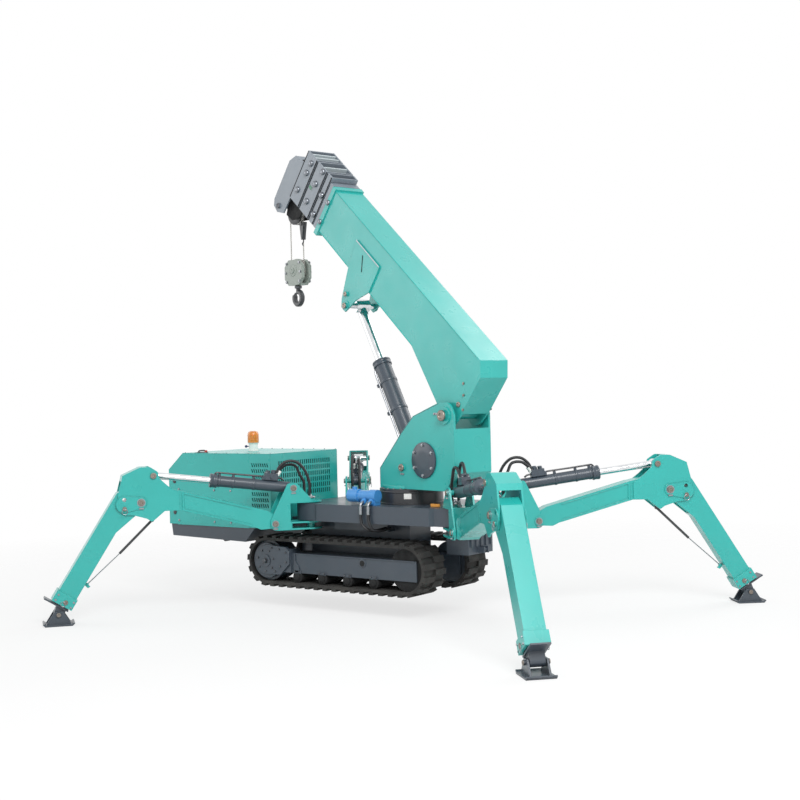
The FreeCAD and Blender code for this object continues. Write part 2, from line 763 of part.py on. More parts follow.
def box_arm(name, base):
    """The arm: a box beam with raised lips, the knee's plates with their cap, and the pin bosses."""
    made = part_body(name + "_arm")
    outer = "(arm_half + plate)"
    knee = [
        (-263, -65),
        (-162, -66),
        (-74, -138),
        (-38, -114),
        (51, -87),
        (122, -82),
        (160, -20),
        (158, 56),
        (124, 190),
        (3, 244),
        (-66, 245),
        (-120, 209),
        (-130, 162),
        (-184, 111),
        (-263, 52),
    ]
    profile = outline(made, "XZ", [(f"knee_r + {r}", f"knee_z + {z}") for r, z in knee])
    pad(made, profile, f"2 * {outer}")
    round_off(made, profile, {2: "12", 5: "30", 6: "40", 9: "25", 10: "25", 11: "25"})
    inside = [(-300, -300), (300, -300), (300, 150), (124, 150), (114, 182), (1, 233), (-44, 234), (-44, 400), (-300, 400)]
    pocket(made, outline(made, "XZ", [(f"knee_r + {r}", f"knee_z + {z}") for r, z in inside]), "2 * arm_half")
    beam = [
        ("root_r - 36", "root_z - 30"),
        ("root_r + 100", "root_z - 38"),
        ("root_r + 145", "root_z - 17"),
        ("knee_r - 263", "knee_z - 65"),
        ("knee_r - 205", "knee_z - 50"),
        ("knee_r - 199", "knee_z + 85"),
        ("knee_r - 282", "knee_z + 66"),
        ("root_r + 58", "root_z + 97"),
        ("root_r - 36", "root_z + 46"),
    ]
    profile = outline(made, "XZ", beam)
    pad(made, profile, "2 * arm_half")
    round_off(made, profile, {0: "30", 1: "20", 8: "30"})
    top = f"({size('knee_z') - size('root_z') - 31}) / ({size('knee_r') - size('root_r') - 340})"
    low = f"({size('knee_z') - size('root_z') - 48}) / ({size('knee_r') - size('root_r') - 408})"
    start, end = "(root_r + lip_start)", "(knee_r - 285)"
    lip = [
        (start, f"root_z - 15 + (lip_start - 145) * {low}"),
        (end, "knee_z - 68"),
        (end, "knee_z + 64"),
        (start, f"root_z + 95 + (lip_start - 58) * {top}"),
    ]
    panel = [
        (f"{start} - 9", f"root_z - 15 + lip_width + (lip_start - 154) * {low}"),
        (f"{end} - lip_width", f"knee_z - 68 + lip_width - lip_width * {low}"),
        (f"{end} - lip_width", f"knee_z + 64 - lip_width - lip_width * {top}"),
        (f"{start} - 9", f"root_z + 95 - lip_width + (lip_start - 67) * {top}"),
    ]
    for sign in (1, -1):
        pad(made, outline(made, "XZ", lip, f"{sign} * (arm_half - 1)"), "lip_proud + 1", "One side", sign < 0)
        pocket(made, outline(made, "XZ", panel, f"{sign} * arm_half"), "lip_proud + 1", "One side", sign > 0)
    pocket(made, circle(made, "XZ", "root_r", "root_z", "root_pin + pin_gap"), "400")
    knee_at = (size("knee_r"), size("knee_z"))
    lock_at = (knee_at[0] + size("lock_out"), knee_at[1] + (size("lock_hole_rise") - size("lock_pin_fall")) / 2)
    strap(made, knee_at, lock_at, (40, 57), f"{outer} + strap_proud", outer)
    hole = circle(made, "XZ", "knee_r + lock_out", "knee_z + lock_hole_rise", "lock_radius")
    pocket(made, hole, "400")
    lateral_disc(made, "knee_r", "knee_z", "knee_pin", f"{outer} + strap_proud + 8")
    lock = ("knee_r + lock_out", "knee_z - lock_pin_fall")
    lateral_disc(made, *lock, "lock_radius", f"{outer} + strap_proud + 8", outer)
    lateral_disc(made, "knee_r - eye_in", "knee_z + eye_rise", "20", f"{outer} + 8", outer)
    made.Placement = base


def telescopic_leg(name, base):
    """The outer leg with its knee gusset and collar, the inner leg that slides in it, and the foot."""
    knee_r, knee_z = size("knee_r"), size("knee_z")
    reach = math.hypot(size("foot_r") - knee_r, knee_z - size("foot_z"))
    lean = math.degrees(math.atan2(size("foot_r") - knee_r, knee_z - size("foot_z")) - math.asin(size("knee_offset") / reach))
    frame = placed(size("foot_r"), 0, size("foot_z"), 0, lean)
    in_leg = base.multiply(frame)
    along = math.sqrt(reach**2 - size("knee_offset") ** 2)
    knee_x = "(-knee_offset)"
    inner, outer = "(leg_side - leg_deep)", "(leg_side + leg_deep)"

    leg = part_body(name + "_leg")
    tube = [
        (inner, "collar_low"),
        (outer, "collar_low"),
        (outer, f"{along} - 28"),
        (f"{outer} - 44", f"{along} + leg_over"),
        (f"{knee_x} - 44", f"{along} + leg_over"),
        (f"{knee_x} - 44", f"{along} - 12"),
        (inner, f"{along} - gusset"),
    ]
    profile = outline(leg, "XZ", tube)
    pad(leg, profile, "2 * leg_half")
    round_off(leg, profile, {3: "20", 4: "44"})
    hollow = [
        (f"{knee_x} - 200", f"{along} - 50"),
        (f"{inner} - 6", f"{along} - 50"),
        (f"{inner} - 6", f"{along} - gusset + 36"),
        (f"{knee_x} - 200", f"{along} - gusset + 36"),
    ]
    pocket(leg, outline(leg, "XZ", hollow), "2 * (leg_half - gusset_plate)")
    collar = [
        (f"{inner} - collar_rise", "collar_low"),
        (f"{outer} + collar_rise", "collar_low"),
        (f"{outer} + collar_rise", "collar_high"),
        (f"{inner} - collar_rise", "collar_high"),
    ]
    pad(leg, outline(leg, "XZ", collar), "2 * (leg_half + collar_rise)")
    cavity = [
        (f"{inner} + leg_wall", "collar_low - 10"),
        (f"{outer} - leg_wall", "collar_low - 10"),
        (f"{outer} - leg_wall", "stem_top + 30"),
        (f"{inner} + leg_wall", "stem_top + 30"),
    ]
    pocket(leg, outline(leg, "XZ", cavity), "2 * (leg_half - leg_wall)")
    pocket(leg, circle(leg, "XZ", knee_x, str(along), "knee_pin + pin_gap"), "400")
    lock_at = frame.inverse().multVec(FreeCAD.Vector(knee_r + size("lock_out"), 0, knee_z + size("lock_hole_rise")))
    pocket(leg, circle(leg, "XZ", str(lock_at.x), str(lock_at.z), "lock_radius"), "400")
    leg.Placement = in_leg

    stem = part_body(name + "_stem")
    low = "(end_plate + 10)"
    for inset, start in (("slide_gap", low), ("running_gap", "stem_top - 60")):
        half = f"(leg_deep - leg_wall - {inset})"
        tube = [
            (f"leg_side - {half}", start),
            (f"leg_side + {half}", start),
            (f"leg_side + {half}", "stem_top"),
            (f"leg_side - {half}", "stem_top"),
        ]
        pad(stem, outline(stem, "XZ", tube), f"2 * (leg_half - leg_wall - {inset})")
    plate_end = [(f"{inner} + 6", "end_plate"), ("end_plate_out", "end_plate"), ("end_plate_out", low), (f"{inner} + 6", low)]
    pad(stem, outline(stem, "XZ", plate_end), "2 * (leg_half - 6)")
    tongue = [("-30", "-26"), ("30", "-26"), ("44", "end_plate + 5"), ("-30", "end_plate + 5")]
    profile = outline(stem, "XZ", tongue)
    pad(stem, profile, "2 * (ear_half - 5)")
    round_off(stem, profile, {0: "25", 1: "25"})
    pocket(stem, circle(stem, "XZ", "0", "0", "foot_pin + pin_gap"), "400")
    stem.Placement = in_leg

    foot = part_body(name + "_foot")
    edge = "pad_length / 2"
    sole = [
        (f"foot_r - {edge} + 16", "0"),
        (f"foot_r + {edge} - 16", "0"),
        (f"foot_r + {edge}", "pad_lip - 6"),
        (f"foot_r + {edge} - 6", "pad_lip"),
        (f"foot_r + {edge} - 21", "pad_thick"),
        (f"foot_r - {edge} + 21", "pad_thick"),
        (f"foot_r - {edge} + 6", "pad_lip"),
        (f"foot_r - {edge}", "pad_lip - 6"),
    ]
    pad(foot, outline(foot, "XZ", sole), "pad_width")
    ear = [
        (f"foot_r - {edge} + 22", "pad_thick - 2"),
        (f"foot_r + {edge} - 22", "pad_thick - 2"),
        ("foot_r + 28", "foot_z + 22"),
        ("foot_r - 28", "foot_z + 22"),
    ]
    for sign in (1, -1):
        profile = outline(foot, "XZ", ear, f"{sign} * ear_half")
        pad(foot, profile, "plate", "One side", sign < 0)
    lateral_disc(foot, "foot_r", "foot_z", "foot_pin", "ear_half + plate + 10")
    foot.Placement = base


def outrigger_cylinder(name, base):
    """The hydraulic cylinder from the bracket to the knee: barrel with its eye and gland, and rod."""
    along = FreeCAD.Vector(size("knee_r") - size("eye_in") - size("base_r"), 0, size("knee_z") + size("eye_rise") - size("base_z"))
    angle = math.degrees(math.atan2(along.z, along.x))
    place = base.multiply(placed(size("base_r"), 0, size("base_z"), 0, angle))
    barrel = part_body(name + "_barrel")
    wall = [
        ("eye / 2", "0"),
        ("head_cap", "0"),
        ("head_cap", "bore"),
        ("barrel_length - gland", "bore"),
        ("barrel_length - gland", "rod + pin_gap"),
        ("barrel_length", "rod + pin_gap"),
        ("barrel_length", "barrel + gland_rise"),
        ("barrel_length - gland", "barrel + gland_rise"),
        ("barrel_length - gland", "barrel"),
        ("eye / 2", "barrel"),
    ]
    revolved(barrel, outline(barrel, "XZ", wall), "X")
    pad(barrel, circle(barrel, "XZ", "0", "0", "eye"), "eye_width")
    pocket(barrel, circle(barrel, "XZ", "0", "0", "root_pin + pin_gap"), "400")
    barrel.Placement = place
    rest = along.Length
    piston = part_body(name + "_rod")
    bar = [
        (f"{rest} - rod_length", "0"),
        (f"{rest}", "0"),
        (f"{rest}", "rod"),
        (f"{rest} - rod_length + 30", "rod"),
        (f"{rest} - rod_length + 30", "bore - pin_gap"),
        (f"{rest} - rod_length", "bore - pin_gap"),
    ]
    revolved(piston, outline(piston, "XZ", bar), "X")
    lateral_disc(piston, str(rest), "0", "eye", "eye_width / 2 + 2")
    lateral_disc(piston, str(rest), "0", "20", "arm_half - 5")
    piston.Placement = place


def outrigger(name, pivot, turn):
    """One outrigger, drawn in its own upright plane."""
    base = placed(pivot[0], pivot[1], 0, turn)
    swing_bracket(name, base)
    box_arm(name, base)
    telescopic_leg(name, base)
    outrigger_cylinder(name, base)


def column(base):
    """The slewing column: two side plates, base plate, rear plate and winch cover."""
    made = part_body("column")
    side = [
        ("column_front", "column_bottom"),
        ("column_front", "column_bottom + 140"),
        ("lift_base_u + 11", "winch_z + 182"),
        ("winch_u + 114", "luff_z - 3"),
        ("luff_u + 60", "luff_z + 87"),
        ("luff_u - 50", "luff_z + 87"),
        ("column_rear", "luff_z + 10"),
        ("column_rear", "winch_z - 80"),
        ("column_rear + 90", "column_bottom"),
    ]
    profile = outline(made, "XZ", side)
    pad(made, profile, "2 * column_half")
    round_off(made, profile, {4: "60", 5: "60"})
    inside = [
        ("column_front + 100", "column_bottom + 20"),
        ("column_front + 100", "luff_z + 400"),
        ("column_rear - 200", "luff_z + 400"),
        ("column_rear - 200", "luff_z - tail_room"),
        ("column_rear + 12", "luff_z - tail_room"),
        ("column_rear + 12", "winch_z - 78"),
        ("column_rear + 100", "column_bottom + 20"),
    ]
    pocket(made, outline(made, "XZ", inside), "2 * (column_half - column_wall)")
    collar = circle(made, "XY", "0", "0", "drum_radius - 20", "column_bottom - 1.5")
    pad(made, collar, "20", "One side")
    lateral_disc(made, "luff_u", "luff_z", "luff_pin", "column_half + 24")
    lateral_disc(made, "luff_u", "luff_z", "60", "column_half + 10", "column_half")
    lateral_disc(made, "lift_base_u", "lift_base_z", "lift_pin", "column_half + 10")
    lateral_disc(made, "winch_u", "winch_z", "cover", "column_half + 12", "column_half")
    lateral_disc(made, "winch_u", "winch_z", "30", "column_half")
    made.Placement = base

    length = "2 * (column_half - column_wall - 12)"
    drum = joined(
        "winch_drum",
        [
            rod("drum_core", "winch_drum", length, ("0", "-(column_half - column_wall - 12)", "0"), "y"),
            rod("drum_flange_right", "winch_flange", "12", ("0", "-(column_half - column_wall - 12)", "0"), "y"),
            rod("drum_flange_left", "winch_flange", "12", ("0", "column_half - column_wall - 24", "0"), "y"),
        ],
        [rod("drum_bore", "30 + pin_gap", "400", ("0", "-200", "0"), "y")],
    )
    drum.Placement = base.multiply(placed(size("winch_u"), 0, size("winch_z")))


def boom(base):
    """The boom's main tube with its tail plates and the bracket of the luffing cylinder."""
    made = part_body("boom_base")
    profile = [
        ("boom_rear", "boom_high"),
        ("boom_rear - 71", "boom_high - 90"),
        ("-90", "90"),
        ("-80", "-20"),
        ("-40", "-75"),
        ("40", "-75"),
        ("147", "-18"),
        ("606", "boom_low"),
        ("boom_front", "boom_low"),
        ("boom_front", "boom_high"),
    ]
    drawing = outline(made, "XZ", profile)
    pad(made, drawing, "2 * boom_half")
    round_off(made, drawing, {3: "40", 4: "50", 5: "50"})
    bore = [
        ("30", "boom_low + boom_wall"),
        ("boom_front + 10", "boom_low + boom_wall"),
        ("boom_front + 10", "boom_high - boom_wall"),
        ("30", "boom_high - boom_wall"),
    ]
    pocket(made, outline(made, "XZ", bore), "2 * (boom_half - boom_wall)")
    tail = [
        ("-200", "-200"),
        ("147", "-200"),
        ("600", "100"),
        ("600", "boom_low"),
        ("20", "boom_low"),
        ("-200", "40"),
    ]
    pocket(made, outline(made, "XZ", tail), "2 * (boom_half - 16)")
    eye_at = ("lift_eye_a", "lift_eye_b")
    bracket = [(-152, 448), (-161, 237), (-73, 102), (-22, -40), (38, -40), (72, 10), (143, 219), (194, 448)]
    for sign in (1, -1):
        corners = [(f"lift_eye_a + {along}", f"lift_eye_b + {up}") for along, up in bracket]
        drawing = outline(made, "XZ", corners, f"{sign} * boom_half")
        pad(made, drawing, "plate", "One side", sign < 0)
    lateral_disc(made, *eye_at, "lift_pin + 14", "boom_half + plate + 6", "boom_half + plate")
    lateral_disc(made, *eye_at, "lift_pin - 4", "boom_half + plate + 14", "boom_half + plate")
    lateral_disc(made, "lift_eye_a + 45", "lift_eye_b + 73", "17", "boom_half + plate + 12", "boom_half + plate")
    rim = [
        ("boom_front - boom_collar", "boom_low - collar_below"),
        ("boom_front", "boom_low - collar_below"),
        ("boom_front", "boom_high + collar_above"),
        ("boom_front - boom_collar", "boom_high + collar_above"),
    ]
    pad(made, outline(made, "XZ", rim), "2 * (boom_half + collar_proud)")
    pocket(made, outline(made, "XZ", bore), "2 * (boom_half - boom_wall)")
    pocket(made, circle(made, "XZ", "0", "0", "luff_pin + pin_gap"), "600")
    made.Placement = base

    for order, (number, gap, length, top) in enumerate(HEADS, start=1):
        tube = part_body(f"boom_section_{number}")
        inset = f"(boom_wall + section_gap + {order - 1} * (section_wall + section_gap))"
        back = f"{60 + 25 * order}"
        start = "(boom_front + " + " + ".join(str(g + (n if i < order - 1 else 0)) for i, (_, g, n, _) in enumerate(HEADS[:order])) + ")"
        end = f"({start} + {length})"
        shell = [
            (back, f"boom_low + {inset}"),
            (end, f"boom_low + {inset}"),
            (end, f"boom_high - {inset}"),
            (back, f"boom_high - {inset}"),
        ]
        pad(tube, outline(tube, "XZ", shell), f"2 * (boom_half - {inset})")
        proud = f"({inset} - section_gap + running_gap)"
        pads = [
            (back, f"boom_low + {proud}"),
            (f"{back} + 60", f"boom_low + {proud}"),
            (f"{back} + 60", f"boom_high - {proud}"),
            (back, f"boom_high - {proud}"),
        ]
        pad(tube, outline(tube, "XZ", pads), f"2 * (boom_half - {proud})")
        head = [(start, "head_low"), (end, "head_low"), (end, top), (start, top)]
        pad(tube, outline(tube, "XZ", head), "2 * head_half")
        if top == "head_high":
            well = [
                (f"{start} + head_rib", "head_deck"),
                (f"{end} - head_rib", "head_deck"),
                (f"{end} - head_rib", "head_high + 10"),
                (f"{start} + head_rib", "head_high + 10"),
            ]
            pocket(tube, outline(tube, "XZ", well), "2 * (head_half - head_cheek)")
        mouth = f"{end} + 50" if number < 5 else f"{end} - 60"
        hollow = [
            ("0", f"boom_low + {inset} + section_wall"),
            (mouth, f"boom_low + {inset} + section_wall"),
            (mouth, f"boom_high - {inset} - section_wall"),
            ("0", f"boom_high - {inset} - section_wall"),
        ]
        pocket(tube, outline(tube, "XZ", hollow), f"2 * (boom_half - {inset} - section_wall)")
        if number == 5:
            boom_tip(tube, end)
        tube.Placement = base


def boom_tip(tube, end):
    """The two plates in front of the last head, with the tip's pin, and the cheeks of the head sheave."""
    plates = [(-88, 432), (-92, 136), (-87, -10), (-9, -51), (62, -36), (89, 10), (91, 358), (43, 433)]
    corners = [(f"tip_a + {along}", f"tip_b + {up}") for along, up in plates]
    for sign in (1, -1):
        drawing = outline(tube, "XZ", corners, f"{sign} * tip_half")
        pad(tube, drawing, "plate", "One side", sign < 0)
    web = [(f"{end} - 20", "tip_b + 420"), (f"{end} - 20", "tip_b + 160"), (f"{end} + 60", "tip_b + 160"), (f"{end} + 60", "tip_b + 420")]
    pad(tube, outline(tube, "XZ", web), "2 * tip_half + 4")
    crown = [("tip_a - 88", "tip_b + 420"), ("tip_a + 43", "tip_b + 420"), ("tip_a + 43", "tip_b + 432"), ("tip_a - 88", "tip_b + 432")]
    pad(tube, outline(tube, "XZ", crown), "2 * tip_half + 4")
    lateral_disc(tube, "tip_a", "tip_b", "tip_pin", "tip_half + plate + 8")
    cheek = [
        ("hook_a - 60", "head_low + 12"),
        ("hook_a - 26", "hook_b - 24"),
        ("hook_a + 26", "hook_b - 24"),
        ("hook_a + 70", "head_low + 12"),
        ("hook_a + 70", "head_low + 60"),
        ("hook_a - 60", "head_low + 60"),
    ]
    for sign in (1, -1):
        drawing = outline(tube, "XZ", cheek, f"{sign} * (head_sheave_width / 2 + sheave_gap)")
        pad(tube, drawing, "plate", "One side", sign < 0)
    lateral_disc(tube, "hook_a", "hook_b", "head_pin", "head_sheave_width / 2 + sheave_gap + plate + 6")


def lift_cylinder(base, boom_base):
    """The luffing cylinder between the column and the boom's bracket."""
    start = FreeCAD.Vector(size("lift_base_u"), 0, size("lift_base_z"))
    eye_in_boom = FreeCAD.Vector(size("lift_eye_a"), 0, size("lift_eye_b"))
    eye_at = base.inverse().multVec(boom_base.multVec(eye_in_boom))
    along = eye_at - start
    angle = math.degrees(math.atan2(along.z, along.x))
    place = base.multiply(placed(start.x, 0, start.z, 0, angle))
    rest = along.Length
    barrel = joined(
        "lift_barrel",
        [
            rod("lift_tube", "lift_barrel", "lift_length - 40", ("40", "0", "0"), "x"),
            rod("lift_base_eye", "52", "150", ("0", "-75", "0"), "y"),
            rod("lift_gland", "lift_barrel + 6", "40", ("lift_length - 40", "0", "0"), "x"),
        ],
        [
            rod("lift_bore_cut", "lift_bore", "lift_length - 40 - lift_head", ("lift_head", "0", "0"), "x"),
            rod("lift_seal_cut", "lift_rod + pin_gap", "lift_length", ("lift_head", "0", "0"), "x"),
            rod("lift_pin_hole", "lift_pin + pin_gap", "400", ("0", "-200", "0"), "y"),
        ],
    )
    barrel.Placement = place
    piston = joined(
        "lift_rod",
        [
            rod("lift_bar", "lift_rod", "lift_rod_length", (f"{rest} - lift_rod_length", "0", "0"), "x"),
            rod("lift_piston", "lift_bore - 0.5", "30", (f"{rest} - lift_rod_length", "0", "0"), "x"),
            rod("lift_eye", "50", "120", (f"{rest}", "-60", "0"), "y"),
            rod("lift_eye_pin", "22", "2 * (boom_half - 5)", (f"{rest}", "5 - boom_half", "0"), "y"),
        ],
    )
    piston.Placement = place


def hook(boom_base):
    """The falls hanging plumb from the boom's head, their block and its swivelling hook."""
    top = boom_base.multVec(FreeCAD.Vector(size("hook_a"), 0, size("hook_b")))
    place = placed(top.x, top.y, top.z, size("slew_turn"))
    made = part_body("hook_block")
    right, upper, lower = "block_width / 2", "(block_height / 2 - block_drop)", "(-block_height / 2 - block_drop)"
    corner = "block_corner"
    cheeks = [
        (f"-{right}", f"{upper} - {corner}"),
        (f"{corner} - {right}", upper),
        (f"{right} - {corner}", upper),
        (right, f"{upper} - {corner}"),
        (right, f"{lower} + {corner}"),
        (f"{right} - {corner}", lower),
        (f"{corner} - {right}", lower),
        (f"-{right}", f"{lower} + {corner}"),
    ]
    pad(made, outline(made, "XZ", cheeks), "2 * block_half")
    floor = "-(sheave_drop + sheave + 2 * rope + sheave_gap)"
    slot = [
        (f"-{right} - 10", floor),
        (f"{right} + 10", floor),
        (f"{right} + 10", f"{upper} + 10"),
        (f"-{right} - 10", f"{upper} + 10"),
    ]
    pocket(made, outline(made, "XZ", slot), "sheave_width + 2 * sheave_gap")
    lateral_disc(made, "0", "-sheave_drop", "block_pin", "block_half + 6")
    pocket(made, circle(made, "XY", "0", "0", "shank + pin_gap", lower), "2 * shank_seat")
    made.Placement = place

    falls = [
        rod(f"fall_{side}", "rope", "sheave_drop", (f"{sign} * sheave", "0", "-sheave_drop"))
        for side, sign in (("near", -1), ("far", 1))
    ]
    wheels = (("head_sheave", "head_sheave_width", "0"), ("block_sheave", "sheave_width", "-sheave_drop"))
    for name, width, height in wheels:
        falls.append(rod(name, "sheave + 2 * rope", width, ("0", f"-{width} / 2", height), "y"))
    bores = [
        rod("head_bore", "head_pin + pin_gap", "4 * head_sheave_width", ("0", "-2 * head_sheave_width", "0"), "y"),
        rod("block_bore", "block_pin + pin_gap", "4 * sheave_width", ("0", "-2 * sheave_width", "-sheave_drop"), "y"),
    ]
    joined("hoist_falls", falls, bores).Placement = place

    low = top.z - size("block_drop") - size("block_height") / 2
    made = doc.addObject("Part::Feature", "hook")
    made.Label = "hook"
    made.Shape = hook_shape()
    made.Placement = placed(top.x, top.y, low, size("slew_turn"))
    pieces.append(made)


def hook_shape():
    """A forged hook: an eight-sided section turned round the throat, with its shank and tip."""
    bend, half, corner = size("hook_bow"), size("hook_thick") / 2, size("hook_corner")
    eye = FreeCAD.Vector(0, 0, -size("hook_drop"))
    section = [
        (half, half - corner),
        (half - corner, half),
        (corner - half, half),
        (-half, half - corner),
        (-half, corner - half),
        (corner - half, -half),
        (half - corner, -half),
        (half, corner - half),
    ]
    corners = [eye + FreeCAD.Vector(0, across, bend + up) for across, up in section]
    sweep = 270 + size("hook_tip")
    bow = Part.Face(Part.makePolygon(corners + corners[:1])).revolve(eye, -Y_AXIS, sweep)
    turn = math.radians(size("hook_tip"))
    end = eye + FreeCAD.Vector(bend * math.cos(turn), 0, bend * math.sin(turn))
    ahead = FreeCAD.Vector(-math.sin(turn), 0, math.cos(turn))
    tip = Part.makeCone(0.9 * half, 0.4 * half, 1.3 * half, end, ahead)
    seat = size("shank_seat") - size("pin_gap")
    shank = Part.makeCylinder(size("shank"), seat - eye.z - bend, eye + Z_AXIS * bend)
    return shank.fuse([bow, tip])


def check_and_write():
    """Stop on any failed object, then write each piece to its own file."""
    doc.recompute()
    for item in doc.Objects:
        if "Invalid" in item.State or "Error" in item.State:
            raise ValueError(f"{item.Name} ({item.Label}) failed: {item.State}")
    os.makedirs("parts", exist_ok=True)
    for piece in pieces:
        if piece.Shape.isNull() or not piece.Shape.isValid():
            raise ValueError(f"{piece.Label} has no valid shape")
        piece.Shape.exportStep(f"parts/{piece.Label}.step")
        print(f"{piece.Label:28s} solids {len(piece.Shape.Solids)} volume {piece.Shape.Volume / 1e6:9.3f} l")


chassis_frame()
undercarriage()
hood()
slew_parts()
for side, sign in (("right", -1), ("left", 1)):
    track(side, sign)
for end, way, angle in (("front", 1, size("front_angle")), ("rear", -1, 180 - size("rear_angle"))):
    for side, sign in (("right", -1), ("left", 1)):
        pivot = (size("frame_x") + way * size("pivot_x"), sign * size("pivot_y"))
        outrigger(f"{end}_{side}", pivot, sign * angle)
slewing = placed(size("slew_x"), 0, 0, size("slew_turn"))
luffing = slewing.multiply(placed(size("luff_u"), 0, size("luff_z"), 0, size("boom_angle")))
column(slewing)
boom(luffing)
lift_cylinder(slewing, luffing)
hook(luffing)
check_and_write()
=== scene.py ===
"""Dresses the compact tracked crane: finishes on its CAD pieces, and the small parts that they lack."""
import json
import math

import bpy
import numpy as np
from bpy.props import FloatProperty, FloatVectorProperty, PointerProperty
from mathutils import Matrix, Vector


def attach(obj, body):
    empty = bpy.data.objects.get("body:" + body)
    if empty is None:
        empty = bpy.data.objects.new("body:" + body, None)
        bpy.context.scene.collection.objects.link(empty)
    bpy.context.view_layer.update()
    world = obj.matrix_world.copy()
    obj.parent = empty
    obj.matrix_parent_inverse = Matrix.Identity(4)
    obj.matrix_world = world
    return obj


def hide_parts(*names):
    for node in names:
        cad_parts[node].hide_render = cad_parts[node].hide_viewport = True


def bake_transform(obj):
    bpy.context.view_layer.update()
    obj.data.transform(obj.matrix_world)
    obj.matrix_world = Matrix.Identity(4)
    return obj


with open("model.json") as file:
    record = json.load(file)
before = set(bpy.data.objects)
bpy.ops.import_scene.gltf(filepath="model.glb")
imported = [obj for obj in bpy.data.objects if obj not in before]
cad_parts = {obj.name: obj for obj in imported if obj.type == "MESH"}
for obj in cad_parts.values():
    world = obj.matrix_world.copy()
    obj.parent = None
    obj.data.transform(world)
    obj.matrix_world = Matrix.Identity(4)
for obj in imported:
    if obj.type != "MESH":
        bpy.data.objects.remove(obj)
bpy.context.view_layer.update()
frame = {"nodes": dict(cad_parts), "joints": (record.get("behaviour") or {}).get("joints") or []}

bl_info = {
    "name": "Tracked crane dressing",
    "version": (1, 0, 0),
    "blender": (4, 5, 0),
    "location": "View3D > Sidebar > Crane",
    "description": "Paint, pins, bolts, hoses, pipes, struts, rope and stage for a compact tracked crane",
    "category": "Add Mesh",
}

NODES = frame["nodes"]
JOINTS = {joint["name"]: joint for joint in frame["joints"]}
CORNERS = ("front_right", "front_left", "rear_right", "rear_left")
UP = np.array([0.0, 0.0, 1.0])
NEARLY_UPRIGHT = 0.9
SHARP_EDGE = 35
MATERIALS = {}


class Axes:
    """A local frame: along, across and up from an origin, all in the part's frame."""

    def __init__(self, origin, along, across, up):
        self.origin = np.asarray(origin, float)
        self.basis = np.array([along, across, up], float)

    def __call__(self, points):
        """Local points, an array whose last axis holds along, across and up, in the part's frame."""
        return self.origin + np.asarray(points, float) @ self.basis


def unit(vector):
    """The vector at length one."""
    vector = np.asarray(vector, float)
    return vector / np.linalg.norm(vector)


def outrigger_axes(corner):
    """An outrigger's own upright plane: outward from its king pin, across it, and up from the ground."""
    pivot = np.array(JOINTS[corner + "_swing"]["pos_m"])
    root = np.array(JOINTS[corner + "_lift"]["pos_m"])
    outward = unit((root - pivot) * [1, 1, 0])
    return Axes(pivot * [1, 1, 0], outward, np.cross(UP, outward), UP)


def limb_axes(corner, joint, lean):
    """Axes in an outrigger's plane from a joint's pin, turned up from the level by an angle in radians."""
    base = outrigger_axes(corner)
    out, side, up = base.basis
    away, height = in_plane(base, f"{corner}_{joint}")
    origin = base((away, 0, height))
    cosine, sine = math.cos(lean), math.sin(lean)
    return Axes(origin, out * cosine + up * sine, side, up * cosine - out * sine)


def barrel_axes(corner):
    """Axes along an outrigger's cylinder, from its lower pin."""
    along = np.array(JOINTS[corner + "_rod_slide"]["axis"])
    out = outrigger_axes(corner).basis[0]
    return limb_axes(corner, "barrel_turn", math.atan2(along[2], along @ out))


def leg_axes(corner):
    """Axes of a leg, from its foot's pin: up along the leg, and outward square to it."""
    along = np.array(JOINTS[corner + "_extend"]["axis"])
    out = outrigger_axes(corner).basis[0]
    return limb_axes(corner, "foot_tilt", math.atan2(along @ out, -along[2]))


def in_plane(axes, name):
    """Where a joint's pin stands in an outrigger's plane: its distance out and its height."""
    local = (np.array(JOINTS[name]["pos_m"]) - axes.origin) @ axes.basis.T
    return local[0], local[2]


WORLD = Axes((0, 0, 0), (1, 0, 0), (0, 1, 0), UP)
ACROSS = -unit(JOINTS["luff"]["axis"])
AHEAD = np.cross(ACROSS, UP)
SLEW = Axes(np.array(JOINTS["slew"]["pos_m"]) * [1, 1, 0], AHEAD, ACROSS, UP)
HANG = Axes(JOINTS["falls_hang"]["pos_m"], AHEAD, ACROSS, UP)
BOOM_WAY = unit(JOINTS["telescope_1"]["axis"])
BOOM = Axes(JOINTS["luff"]["pos_m"], BOOM_WAY, ACROSS, np.cross(BOOM_WAY, ACROSS))
LIFT_WAY = unit(JOINTS["lift_rod_slide"]["axis"])
LIFT = Axes(JOINTS["lift_barrel_turn"]["pos_m"], LIFT_WAY, ACROSS, np.cross(LIFT_WAY, ACROSS))
COLUMN_HALF = 0.165


def linear(colour):
    """A display colour, 0 to 255 in each channel, as scene-linear red, green, blue and alpha."""
    c = np.asarray(colour, float) / 255
    c = np.where(c <= 0.04045, c / 12.92, ((c + 0.055) / 1.055) ** 2.4)
    return (*c, 1.0)


